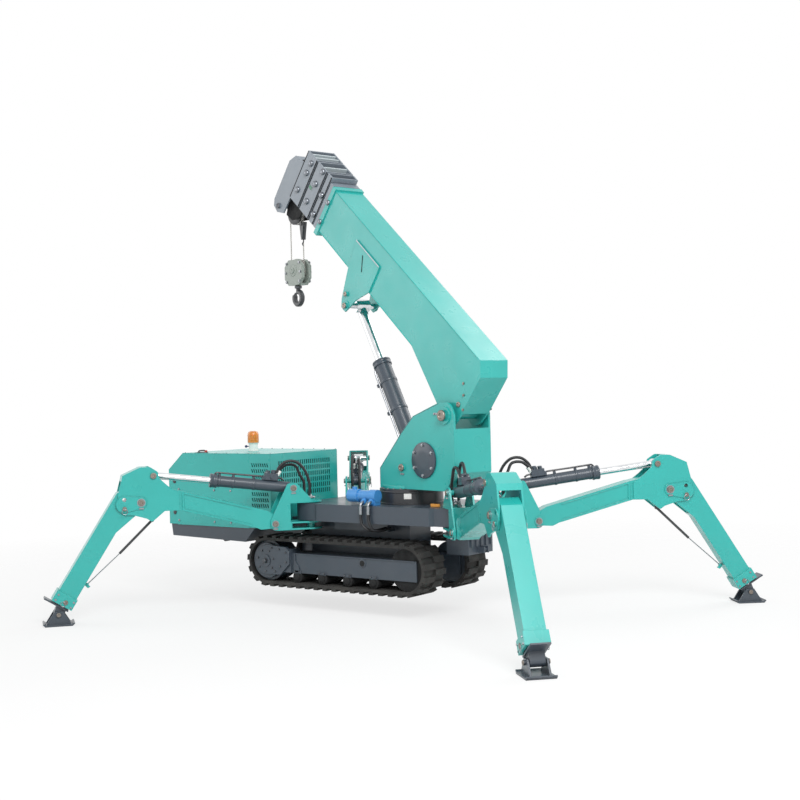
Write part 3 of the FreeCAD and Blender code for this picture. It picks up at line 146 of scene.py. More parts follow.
class Finish:
    """A node material under way: its tree, its main shader and short ways to add to it."""

    def __init__(self, name, colour, roughness, metallic=0.0):
        self.material = bpy.data.materials.new(name)
        self.material.use_nodes = True
        self.tree = self.material.node_tree
        self.shader = self.tree.nodes["Principled BSDF"]
        self.colour = linear(colour)
        self.shader.inputs["Base Color"].default_value = self.colour
        self.shader.inputs["Roughness"].default_value = roughness
        self.shader.inputs["Metallic"].default_value = metallic
        self.place = self.node("ShaderNodeTexCoord").outputs["Object"]
        MATERIALS[name] = self.material

    def node(self, kind, **values):
        """A new node with its inputs set by name."""
        made = self.tree.nodes.new(kind)
        for key, value in values.items():
            made.inputs[key.replace("_", " ")].default_value = value
        return made

    def link(self, start, end):
        """A link from an output to an input."""
        self.tree.links.new(start, end)

    def noise(self, scale, detail=3.0):
        """Noise over the object's own coordinates."""
        made = self.node("ShaderNodeTexNoise", Scale=scale, Detail=detail)
        self.link(self.place, made.inputs["Vector"])
        return made.outputs["Fac"]

    def remap(self, value, low, high, out_low, out_high):
        """A value brought from one range to another."""
        made = self.node("ShaderNodeMapRange")
        for index, number in enumerate((low, high, out_low, out_high), start=1):
            made.inputs[index].default_value = number
        self.link(value, made.inputs[0])
        return made.outputs[0]

    def mix(self, share, first, second):
        """Two colours mixed by a share; each is a colour or an output."""
        made = self.tree.nodes.new("ShaderNodeMix")
        made.data_type = "RGBA"
        for socket, value in ((made.inputs[0], share), (made.inputs[6], first), (made.inputs[7], second)):
            if isinstance(value, bpy.types.NodeSocket):
                self.link(value, socket)
            else:
                socket.default_value = value
        return made.outputs[2]

    def mottle(self, scale, depth):
        """The colour a little darker and lighter in soft patches."""
        share = self.remap(self.noise(scale), 0.3, 0.7, 0.0, 1.0)
        dark = tuple(c * (1 - depth) for c in self.colour[:3]) + (1.0,)
        light = tuple(min(1.0, c * (1 + depth)) for c in self.colour[:3]) + (1.0,)
        return self.mix(share, dark, light)

    def dusty(self, colour, dust, top, strength):
        """A film of dust that thickens toward the ground, from a height in metres down."""
        height = self.node("ShaderNodeSeparateXYZ")
        self.link(self.place, height.inputs[0])
        low = self.remap(height.outputs[2], 0.0, top, strength, 0.0)
        patch = self.remap(self.noise(9.0, 6.0), 0.35, 0.7, 0.15, 1.0)
        share = self.node("ShaderNodeMath")
        share.operation = "MULTIPLY"
        self.link(low, share.inputs[0])
        self.link(patch, share.inputs[1])
        return self.mix(share.outputs[0], colour, linear(dust))

    def paint(self, colour):
        """Send a colour to the shader."""
        self.link(colour, self.shader.inputs["Base Color"])

    def rough(self, scale, low, high):
        """Roughness that wanders between two values."""
        self.link(self.remap(self.noise(scale), 0.3, 0.7, low, high), self.shader.inputs["Roughness"])

    def bump(self, height, strength, depth, rounding=0.0):
        """Fine relief from a height value, over edges that catch the light as if rounded."""
        made = self.node("ShaderNodeBump", Strength=strength, Distance=depth)
        if rounding:
            edge = self.node("ShaderNodeBevel", Radius=rounding)
            edge.samples = 4
            self.link(edge.outputs["Normal"], made.inputs["Normal"])
        self.link(height, made.inputs["Height"])
        self.link(made.outputs["Normal"], self.shader.inputs["Normal"])


def paint_finish(name, colour, roughness, dust=0.0):
    """Sprayed enamel over steel plate: soft mottle, orange peel and a little dust low down."""
    made = Finish(name, colour, roughness)
    shade = made.mottle(2.5, 0.045)
    if dust:
        shade = made.dusty(shade, (150, 140, 124), 0.9, dust)
    made.paint(shade)
    made.rough(7.0, roughness - 0.06, roughness + 0.08)
    made.bump(made.noise(160.0, 2.0), 0.05, 0.002, 0.0035)
    made.shader.inputs["Coat Weight"].default_value = 0.35
    made.shader.inputs["Coat Roughness"].default_value = 0.18


def metal_finish(name, colour, roughness, grain=90.0, relief=0.04):
    """Bare or plated metal with a fine grain."""
    made = Finish(name, colour, roughness, 1.0)
    made.paint(made.mottle(14.0, 0.06))
    made.rough(30.0, max(0.04, roughness - 0.08), roughness + 0.1)
    made.bump(made.noise(grain, 2.0), relief, 0.001)


def rubber_finish(name, colour, dust):
    """Moulded rubber, scuffed pale where it meets the ground."""
    made = Finish(name, colour, 0.78)
    shade = made.mottle(11.0, 0.25)
    made.paint(made.dusty(shade, (112, 108, 102), 0.75, dust))
    made.rough(20.0, 0.7, 0.9)
    made.bump(made.noise(85.0, 5.0), 0.3, 0.003)


def hose_finish():
    """Ribbed black hose cover."""
    made = Finish("hose_rubber", (30, 31, 34), 0.48)
    made.paint(made.mottle(30.0, 0.12))
    wave = made.node("ShaderNodeTexWave", Scale=60.0, Distortion=1.5)
    made.link(made.place, wave.inputs["Vector"])
    made.bump(wave.outputs["Fac"], 0.08, 0.001)


def rope_finish():
    """Stranded wire rope: bright lays with dark grooves between them."""
    made = Finish("wire_rope", (176, 174, 168), 0.42, 0.8)
    wave = made.node("ShaderNodeTexWave", Scale=38.0, Distortion=0.6)
    wave.bands_direction = "DIAGONAL"
    made.link(made.place, wave.inputs["Vector"])
    made.paint(made.mix(wave.outputs["Fac"], linear((92, 90, 86)), linear((206, 204, 198))))
    made.bump(wave.outputs["Fac"], 0.5, 0.002)


def lens_finish(name, colour):
    """Moulded translucent plastic."""
    made = Finish(name, colour, 0.2)
    made.paint(made.mottle(20.0, 0.06))
    made.shader.inputs["Transmission Weight"].default_value = 0.35
    made.shader.inputs["IOR"].default_value = 1.49
    made.shader.inputs["Coat Weight"].default_value = 0.5
    made.bump(made.noise(40.0, 2.0), 0.05, 0.001)


def mesh_piece(name, parts, material, body):
    """One mesh object from several closed solids, smooth between its sharp edges, riding on a body."""
    verts, faces = joined(parts)
    mesh = bpy.data.meshes.new(name)
    mesh.from_pydata(verts.tolist(), [], [list(f) for f in faces])
    mesh.validate()
    mesh.polygons.foreach_set("use_smooth", np.full(len(mesh.polygons), True))
    mesh.set_sharp_from_angle(angle=math.radians(SHARP_EDGE))
    mesh.update()
    made = bpy.data.objects.new(name, mesh)
    bpy.context.scene.collection.objects.link(made)
    mesh.materials.append(MATERIALS[material])
    if body:
        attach(made, body)
    return made


def outward_faces(verts, faces):
    """The faces turned so that the solid they close has a positive volume."""
    verts = verts - verts.mean(axis=0)
    total = 0.0
    for face in faces:
        ring = verts[list(face)]
        total += np.sum(np.cross(ring[1:-1], ring[2:]) @ ring[0])
    return faces if total > 0 else [list(face)[::-1] for face in faces]


def closed(rings):
    """A solid from an array of rows, columns and 3: quads from ring to ring round each row, and flat ends."""
    rows, columns = rings.shape[:2]
    i, j = np.meshgrid(np.arange(rows - 1), np.arange(columns), indexing="ij")
    k = (j + 1) % columns
    quads = [i * columns + j, i * columns + k, (i + 1) * columns + k, (i + 1) * columns + j]
    faces = np.stack(quads, axis=-1).reshape(-1, 4).tolist()
    faces.append(list(range(columns))[::-1])
    faces.append([(rows - 1) * columns + c for c in range(columns)])
    verts = rings.reshape(-1, 3)
    return verts, outward_faces(verts, faces)


def joined(parts):
    """Several solids, each its corners and faces, as one mesh's arrays."""
    verts, faces, count = [], [], 0
    for corners, quads in parts:
        verts.append(corners)
        faces += [[count + index for index in face] for face in quads]
        count += len(corners)
    return np.concatenate(verts), faces


def square_to(axis):
    """A unit vector square to a unit axis: its cross product with up, or with x where it stands upright."""
    return unit(np.cross(axis, UP if abs(axis @ UP) < NEARLY_UPRIGHT else (1.0, 0.0, 0.0)))


def frame_along(path):
    """Two unit normals along a path, square to its tangent and carried on with the least twist."""
    tangent = np.gradient(path, axis=0)
    tangent /= np.linalg.norm(tangent, axis=1, keepdims=True)
    normal = [square_to(tangent[0])]
    for t in tangent[1:]:
        normal.append(unit(normal[-1] - t * (normal[-1] @ t)))
    normal = np.array(normal)
    return normal, np.cross(tangent, normal)


def smooth_path(points, per_run):
    """A curve through the points: each run is the cubic whose end slopes are half the neighbours' step."""
    points = np.asarray(points, float)
    slope = np.gradient(points, axis=0)
    s = np.linspace(0, 1, per_run, endpoint=False)[:, None]
    h = [2 * s**3 - 3 * s**2 + 1, s**3 - 2 * s**2 + s, -2 * s**3 + 3 * s**2, s**3 - s**2]
    runs = [
        h[0] * points[i] + h[1] * slope[i] + h[2] * points[i + 1] + h[3] * slope[i + 1]
        for i in range(len(points) - 1)
    ]
    return np.concatenate(runs + [points[-1:]])


def tube(path, radius, sides):
    """A round tube: a circle of the radius carried along the path; the radius may vary along it."""
    path = np.asarray(path, float)
    normal, across = frame_along(path)
    turn = np.linspace(0, 2 * np.pi, sides, endpoint=False)
    radius = np.broadcast_to(np.asarray(radius, float), (len(path),))[:, None, None]
    ring = normal[:, None] * np.cos(turn)[None, :, None] + across[:, None] * np.sin(turn)[None, :, None]
    return closed(path[:, None] + radius * ring)


def turned(profile, origin, axis, sides):
    """A turned solid: pairs of radius and height along the axis, carried round it; flat ends close it."""
    profile = np.asarray(profile, float)
    axis = unit(axis)
    side = square_to(axis)
    other = np.cross(axis, side)
    turn = np.linspace(0, 2 * np.pi, sides, endpoint=False)
    ring = side * np.cos(turn)[:, None] + other * np.sin(turn)[:, None]
    return closed(np.asarray(origin, float) + profile[:, :1, None] * ring + (profile[:, 1:2] * axis)[:, None])


def disc(radius, height, origin, axis, sides):
    """A plain turned disc, or a prism when it has few sides."""
    return turned([(radius, 0), (radius, height)], origin, axis, sides)


def on_side(axes, pairs, side):
    """Pairs of along and up at one place across, in the part's frame."""
    pairs = np.asarray(pairs, float)
    return axes(np.column_stack([pairs[:, 0], np.full(len(pairs), side), pairs[:, 1]]))


def on_face(axes, along, side, up):
    """A place on a side face, in the part's frame, and the way that face looks."""
    return axes((along, side, up)), axes.basis[1] * math.copysign(1.0, side)


def arc(centre, radius, angles):
    """Pairs round a centre: the centre plus the radius times cosine and sine of angles in radians."""
    return np.asarray(centre, float) + radius * np.column_stack([np.cos(angles), np.sin(angles)])


def slab(axes, outline, low, high, bevel=0.0):
    """A plate from one place across to another: an outline of pairs, its rims drawn in by a bevel."""
    outline = np.asarray(outline, float)
    offset = outline - outline.mean(axis=0)
    reach = np.maximum(np.linalg.norm(offset, axis=1, keepdims=True), 1e-6)
    levels = [(low, bevel), (high, bevel)]
    if bevel:
        levels[1:1] = [(low + bevel, 0.0), (high - bevel, 0.0)]
    rings = [on_side(axes, outline - offset * inset / reach, across) for across, inset in levels]
    return closed(np.array(rings))


def side_slab(axes, outline, sign, near, far, bevel=0.0):
    """A plate on the side of the sign, from one distance off the middle plane to another."""
    return slab(axes, outline, *sorted((sign * near, sign * far)), bevel)


def rectangle(start, end, bottom, top):
    """The outline of a rectangle, from one place along to another and from one height to another."""
    return [(start, bottom), (end, bottom), (end, top), (start, top)]


def block(axes, centre, size, bevel):
    """A bevelled box from its centre and its size along, across and up."""
    (x, y, z), (a, b, c) = centre, np.asarray(size, float) / 2
    return slab(axes, rectangle(x - a, x + a, z - c, z + c), y - b, y + b, bevel)


def bolt_head(origin, axis, size):
    """A hexagon head on a washer, standing on a face; size is the head's width across corners."""
    washer = size * np.array([(0.62, 0), (0.62, 0.12), (0.5, 0.12)])
    head = size * np.array([(0.5, 0.12), (0.5, 0.46), (0.43, 0.52), (0.12, 0.54)])
    return [turned(washer, origin, axis, 12), turned(head, origin, axis, 6)]


def pin_head(origin, axis, radius):
    """A pin's domed head with a bored centre and a raised rim."""
    profile = radius * np.array([(1, 0), (1, 0.22), (0.9, 0.34), (0.5, 0.36), (0.42, 0.22), (0.1, 0.2)])
    return turned(profile, origin, axis, 20)


def bolts_at(axes, side, places, size):
    """Bolt heads at pairs of along and up on one side face."""
    return [part for along, up in places for part in bolt_head(*on_face(axes, along, side, up), size)]


def pin_pairs(axes, *rows):
    """Pin heads on both side faces, from rows of radius, half width, along and up."""
    return [pin_head(*on_face(axes, along, sign * half, up), radius)
            for radius, half, along, up in rows for sign in (1, -1)]


def beads(axes, corners, side, radius, steps, sides=6):
    """Round beads along the straight runs between pairs of along and up, on one side face."""
    return [tube(on_side(axes, np.linspace(start, end, steps), side), radius, sides)
            for start, end in zip(corners, corners[1:])]


def keeper(axes, along, across, up, size):
    """A keeper plate beside a pin, with its two bolts, on the face that looks along the sign of across."""
    face = across + math.copysign(0.005, across)
    solids = [block(axes, (along, (across + face) / 2, up), (2.6 * size, 0.005, 0.8 * size), 0.001)]
    return solids + bolts_at(axes, face, [(along + step * size, up) for step in (-0.8, 0.8)], 0.7 * size)


def wire_loop(axes, centre, across, radius, wire, start=100, end=440):
    """A bent wire: a circle's arc in the plane of along and up, between two angles in degrees."""
    return tube(on_side(axes, arc(centre, radius, np.radians(np.linspace(start, end, 28))), across), wire, 8)


def bolt_circle(axes, centre, across, radius, count, size, turn):
    """Bolt heads round a circle in the plane of along and up, facing along the sign of across."""
    angles = np.radians(turn) + np.linspace(0, 2 * np.pi, count, endpoint=False)
    return bolts_at(axes, across, arc(centre, radius, angles), size)


def fitting(origin, axis, radius, length):
    """A hose fitting: a hexagon nut and a crimped sleeve with raised rings."""
    nut = disc(1.25 * radius, 0.25 * length, origin, axis, 6)
    steps = np.linspace(0.25, 1.0, 9)
    swell = 1.0 + 0.1 * (np.arange(9) % 2)
    sleeve = turned(np.column_stack([radius * swell, length * steps]), origin, axis, 14)
    return [nut, sleeve]


def dress(node, material):
    """Give a CAD piece its finish."""
    held = NODES[node].data.materials
    if len(held):
        held[0] = MATERIALS[material]
    else:
        held.append(MATERIALS[material])


def colour_property(name, note, *channels):
    """A colour that a user may change, from display channels of 0 to 255."""
    shares = tuple(channel / 255 for channel in channels)
    values = dict(default=shares, subtype="COLOR_GAMMA", size=3, min=0.0, max=1.0)
    return FloatVectorProperty(name=name, description=note, **values)


class CraneSizes(bpy.types.PropertyGroup):
    """Sizes of the small parts, in metres."""

    hose: FloatProperty(name="Hose", description="Radius of a hydraulic hose", default=0.0105, unit="LENGTH")
    pipe: FloatProperty(name="Pipe", description="Radius of a steel pipe", default=0.0065, unit="LENGTH")
    strut: FloatProperty(name="Strut", description="Radius of a gas strut", default=0.009, unit="LENGTH")
    bead: FloatProperty(name="Bead", description="Radius of a weld bead", default=0.004, unit="LENGTH")


class CraneColours(bpy.types.PropertyGroup):
    """Colours of the main finishes, as display values."""

    teal: colour_property("Teal", "Enamel on booms, hood and legs", 44, 176, 169)
    slate: colour_property("Slate", "Enamel on frame and cylinders", 60, 70, 81)
    grey: colour_property("Grey", "Enamel on the boom's sections", 126, 136, 146)
    block: colour_property("Block", "Enamel on the hook block", 146, 156, 148)
    blue: colour_property("Blue", "Enamel on the slewing motor", 66, 142, 208)
    amber: colour_property("Amber", "The beacon's lens", 250, 150, 48)


def sizes():
    """The sizes held by the scene."""
    return bpy.context.scene.crane_sizes


class CRANE_OT_finishes(bpy.types.Operator):
    """Make every material of the crane."""

    bl_idname = "crane.finishes"
    bl_label = "Finishes"

    def execute(self, context):
        colours = context.scene.crane_colours
        tint = {name: [255 * c for c in getattr(colours, name)] for name in CraneColours.__annotations__}
        paint_finish("teal_enamel", tint["teal"], 0.3, dust=0.03)
        paint_finish("slate_enamel", tint["slate"], 0.4, dust=0.05)
        paint_finish("grey_enamel", tint["grey"], 0.38)
        paint_finish("block_enamel", tint["block"], 0.42)
        paint_finish("blue_enamel", tint["blue"], 0.32)
        paint_finish("black_enamel", (44, 46, 50), 0.4, dust=0.12)
        paint_finish("white_plastic", (236, 236, 232), 0.4)
        paint_finish("green_plate", (30, 120, 84), 0.4)
        paint_finish("orange_cap", (232, 160, 66), 0.4)
        paint_finish("navy_knob", (38, 46, 92), 0.3)
        paint_finish("red_tip", (196, 60, 52), 0.35)
        metal_finish("hard_chrome", (224, 226, 228), 0.16, 200.0, 0.01)
        metal_finish("zinc_steel", (158, 160, 164), 0.36)
        metal_finish("stud_steel", (132, 136, 142), 0.3)
        # Painted highlight: pale grey for plate edges and rib tops that catch the light.
        paint_finish("pale_edge", (192, 204, 208), 0.4)
        metal_finish("copper_pin", (140, 132, 124), 0.42)
        metal_finish("dark_steel", (96, 98, 102), 0.42)
        rubber_finish("track_rubber", (34, 34, 34), 0.3)
        # Painted shade: a near-black finish for recesses, holes, slots, gaps and openings that fall in shade.
        rubber_finish("dark_hollow", (16, 17, 18), 0.0)
        hose_finish()
        rope_finish()
        lens_finish("amber_lens", tint["amber"])
        return {"FINISHED"}


class CRANE_OT_enamel(bpy.types.Operator):
    """Paint every CAD piece of the crane."""

    bl_idname = "crane.enamel"
    bl_label = "Enamel on the CAD pieces"

    TABLE = {
        "teal_enamel": ("hood_side_right", "hood_side_left", "hood_cover", "hood_grille", "column",
                        "boom_base"),
        "slate_enamel": ("main_frame", "undercarriage", "hood_skirt", "lift_barrel", "front_box"),
        "block_enamel": ("hook_block",),
        "white_plastic": ("beacon_base",),
        "grey_enamel": ("boom_section_2", "boom_section_3", "boom_section_4", "boom_section_5"),
        "black_enamel": ("engine", "slew_drive", "winch_drum", "hook"),
        "blue_enamel": ("slew_motor",),
        "track_rubber": ("track_right", "track_left"),
        "hard_chrome": ("lift_rod",),
        "wire_rope": ("hoist_falls",),
        "amber_lens": ("beacon",),
    }
    LIMB = {
        "teal_enamel": ("bracket", "arm", "leg"),
        "slate_enamel": ("stem", "foot", "barrel"),
        "hard_chrome": ("rod",),
    }

    def execute(self, context):
        for material, nodes in self.TABLE.items():
            for node in nodes:
                dress(node, material)
        for corner in CORNERS:
            for material, nodes in self.LIMB.items():
                for node in nodes:
                    dress(f"{corner}_{node}", material)
        return {"FINISHED"}


class CRANE_OT_pins(bpy.types.Operator):
    """Pin heads, keeper plates and grease nipples at every joint of the outriggers."""

    bl_idname = "crane.pins"
    bl_label = "Outrigger pins"

    LOCK = (0.1145, -0.039)
    EYE = (-0.087, 0.183)
    KING_TOP = (0, 0, 0.7985)
    CAP = [(0.034, 0), (0.034, 0.008), (0.03, 0.012), (0.012, 0.013), (0.01, 0.02), (0.004, 0.026)]
    COLLAR = ((-0.045, 0.12), (0.072, 0.12), (-0.045, 0.08), (0.072, 0.08))

    def execute(self, context):
        for corner in CORNERS:
            axes = outrigger_axes(corner)
            knee = np.array(in_plane(axes, corner + "_fold"))
            lock = knee + self.LOCK
            rows = (
                ("bracket", in_plane(axes, corner + "_lift"), 0.097, 0.0185, 0.089),
                ("bracket", in_plane(axes, corner + "_barrel_turn"), 0.089, 0.0185, 0.081),
                ("arm", knee, 0.092, 0.0215, 0.084),
                ("arm", lock, 0.092, 0.0155, None),
                ("arm", knee + self.EYE, 0.086, 0.0215, None),
                ("foot", in_plane(axes, corner + "_foot_tilt"), 0.072, 0.0155, None),
            )
            heads = {"bracket": [], "arm": [], "foot": []}
            plates = {"bracket": [], "arm": []}
            for body, (along, up), reach, radius, face in rows:
                heads[body] += pin_pairs(axes, (radius, reach, along, up))
                for side in (face, -face) if face else ():
                    plates[body].append(disc(1.35 * radius, 0.003, *on_face(axes, along, side, up), 24))
                    plates[body] += keeper(axes, along, side, up - 1.9 * radius, 0.013)
            for side in (0.098, -0.098):
                plates["arm"].append(wire_loop(axes, lock - (0, 0.019), side, 0.019, 0.0022))
            plates["bracket"].append(turned(self.CAP, axes(self.KING_TOP), UP, 24))
            for side in (0.03, -0.03):
                plates["bracket"] += bolt_head(axes((0.055, side, 0.782)), UP, 0.016)
            for body, solids in heads.items():
                mesh_piece(f"{corner}_{body}_pin_heads", solids, "copper_pin", f"{corner}_{body}")
            for body, solids in plates.items():
                mesh_piece(f"{corner}_{body}_keepers", solids, "zinc_steel", f"{corner}_{body}")
            self.collar_pin(corner)
        return {"FINISHED"}

    def collar_pin(self, corner):
        """The pin through the leg's collar, with its wire handle, and the collar's small bolts."""
        axes = leg_axes(corner)
        bolts = []
        for sign in (1, -1):
            bolts.append(wire_loop(axes, (0.013, 0.078), sign * 0.08, 0.017, 0.002, 60, 400))
            bolts += bolts_at(axes, sign * 0.074, self.COLLAR, 0.012)
        pins = pin_pairs(axes, (0.0165, 0.074, 0.003, 0.095))
        mesh_piece(f"{corner}_collar_pin", pins, "copper_pin", f"{corner}_leg")
        mesh_piece(f"{corner}_collar_bolts", bolts, "zinc_steel", f"{corner}_leg")


class CRANE_OT_cylinders(bpy.types.Operator):
    """Valve block, fittings, pipes, clamps and gland ring on each outrigger's cylinder."""

    bl_idname = "crane.cylinders"
    bl_label = "Outrigger cylinders"

    CLAMP = [(0.0425, 0), (0.0435, 0.004), (0.0435, 0.012), (0.0425, 0.016)]
    GLAND = [(0.0485, 0), (0.0505, 0.003), (0.0505, 0.012), (0.0485, 0.015), (0.0485, 0.034),
             (0.0505, 0.037), (0.0505, 0.046), (0.047, 0.0505), (0.03, 0.0515)]
    PIPE = [(0.2, 0.006, 0.06), (0.25, 0.006, 0.062), (0.38, 0.006, 0.0605), (0.5, 0.006, 0.0605),
            (0.548, 0.006, 0.0595), (0.562, 0.006, 0.046)]
    FEED = [(0.11, -0.012, 0.06), (0.08, -0.012, 0.058), (0.06, -0.012, 0.046)]

    def execute(self, context):
        for corner in CORNERS:
            axes = barrel_axes(corner)
            along, across, up = axes.basis
            body = corner + "_barrel"
            valve = [
                block(axes, (0.157, 0, 0.064), (0.098, 0.062, 0.05), 0.004),
                block(axes, (0.205, 0, 0.052), (0.03, 0.05, 0.03), 0.003),
                turned([(0.02, 0), (0.02, 0.018), (0.014, 0.026)], axes((0.14, 0, 0.088)), up, 18),
                disc(0.013, 0.02, axes((0.18, 0.015, 0.088)), up, 6),
                disc(0.013, 0.02, axes((0.18, -0.015, 0.088)), up, 6),
                disc(0.012, 0.016, axes((0.157, 0.031, 0.064)), across, 6),
            ]
            for step in (0.27, 0.42, 0.52):
                valve.append(turned(self.CLAMP, axes((step, 0, 0)), along, 32))
                valve.append(block(axes, (step + 0.008, 0, 0.048), (0.018, 0.024, 0.014), 0.002))
            valve.append(turned(self.GLAND, axes((0.5425, 0, 0)), along, 40))
            pipes = [tube(axes(smooth_path(path, steps)), sizes().pipe, 10)
                     for path, steps in ((self.PIPE, 8), (self.FEED, 6))]
            ends, bolts = [], []
            for side in (0.017, -0.017):
                ends += fitting(axes((0.113, side, 0.078)), up - 0.5 * along, 0.011, 0.038)
            for place in (0.122, 0.192):
                for side in (0.02, -0.02):
                    bolts += bolt_head(axes((place, side, 0.089)), up, 0.011)
            mesh_piece(corner + "_valve_block", valve, "slate_enamel", body)
            mesh_piece(corner + "_cylinder_pipe", pipes, "black_enamel", body)
            mesh_piece(corner + "_valve_fittings", ends, "white_plastic", body)
            mesh_piece(corner + "_valve_bolts", bolts, "zinc_steel", body)
            self.hoses(corner)
        return {"FINISHED"}

    def hoses(self, corner):
        """Two hoses that arch from the valve block over the bracket and down to its upper lug."""
        axes = outrigger_axes(corner)
        for number, (side, rise) in enumerate(((0.017, 0.0), (-0.017, -0.028))):
            route = [
                (0.25, side, 0.985),
                (0.228, side, 1.03 + rise),
                (0.175, 1.2 * side, 1.068 + rise),
                (0.105, 1.4 * side, 1.062 + rise),
                (0.045 - rise, 1.6 * side, 1.0 + rise),
                (0.012 - rise, 1.6 * side, 0.9),
                (0.018 - rise, 1.5 * side, 0.782),
            ]
            hose = tube(axes(smooth_path(route, 8)), sizes().hose, 12)
            piece = mesh_piece(f"{corner}_hose_{number}", [hose], "hose_rubber", None)
            tuple(axes((0.03, 0, 0.9)))
            tuple(axes((0.235, 0, 0.99)))
            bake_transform(piece)
            foot = fitting(axes((0.018 - rise, 1.5 * side, 0.78)), UP, 0.0125, 0.035)
            mesh_piece(f"{corner}_hose_foot_{number}", foot, "zinc_steel", corner + "_bracket")


class CRANE_OT_plate_edges(bpy.types.Operator):
    """Rounded edges of the raised plates on the arms: the beam's lips and the strap round knee and lock."""

    bl_idname = "crane.plate_edges"
    bl_label = "Plate edges"

    LIP = ((0.443, 0.6185), (0.934, 0.754), (0.934, 0.886), (0.443, 0.752))
    INNER = ((0.45, 0.6335), (0.921, 0.7634), (0.921, 0.8695), (0.45, 0.741))
    KNEE, KNEE_RADIUS = (1.219, 0.822), 0.04
    LOCK, LOCK_RADIUS = (1.3335, 0.8145), 0.057

    def strap(self):
        """The strap's rim: an arc round the knee, an arc round the lock, and their outer tangents."""
        span = np.subtract(self.LOCK, self.KNEE)
        along = math.atan2(span[1], span[0])
        half = math.pi / 2 + math.asin((self.LOCK_RADIUS - self.KNEE_RADIUS) / np.hypot(*span))
        far = arc(self.LOCK, self.LOCK_RADIUS, along + np.linspace(-half, half, 28))
        near = arc(self.KNEE, self.KNEE_RADIUS, along + np.linspace(half, 2 * math.pi - half, 24))
        return np.concatenate([far, near, far[:1]])

    def execute(self, context):
        rim = self.strap()
        for corner in CORNERS:
            axes = outrigger_axes(corner)
            solids = []
            for sign in (1, -1):
                solids.append(tube(on_side(axes, rim, sign * 0.0835), 0.0026, 6))
                for corners in (self.LIP, self.INNER):
                    solids += beads(axes, corners, sign * 0.0705, 0.0022, 4)
            mesh_piece(corner + "_plate_edges", solids, "teal_enamel", corner + "_arm")
        return {"FINISHED"}


class CRANE_OT_struts(bpy.types.Operator):
    """The gas strut under each knee, from the arm's lug to the leg."""

    bl_idname = "crane.struts"
    bl_label = "Gas struts"

    TOP = np.array((1.14, 0.0, 0.69))
    MIDDLE = np.array((1.369, 0.0, 0.468))
    LOW = np.array((1.592, 0.0, 0.268))
    LUG = [(1.572, 0.25), (1.604, 0.28), (1.612, 0.262), (1.59, 0.24)]

    def execute(self, context):
        for corner in CORNERS:
            axes = outrigger_axes(corner)
            across = axes.basis[1]
            body = [tube(axes(np.linspace(self.TOP, self.MIDDLE, 12)), sizes().strut, 12),
                    disc(0.013, 0.02, axes(self.TOP - (0, 0.01, 0)), across, 16)]
            rod = [tube(axes(np.linspace(self.MIDDLE, self.LOW, 12)), 0.4 * sizes().strut, 12)]
            for name, solids, finish in (("body", body, "black_enamel"), ("rod", rod, "zinc_steel")):
                piece = mesh_piece(f"{corner}_strut_{name}", solids, finish, None)
                tuple(axes(self.TOP))
                tuple(axes(self.LOW))
                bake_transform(piece)
            lug = [slab(axes, self.LUG, -0.008, 0.008, 0.001),
                   disc(0.009, 0.026, axes(self.LOW - (0, 0.013, 0)), across, 14)]
            mesh_piece(corner + "_strut_lug", lug, "teal_enamel", corner + "_leg")
        return {"FINISHED"}


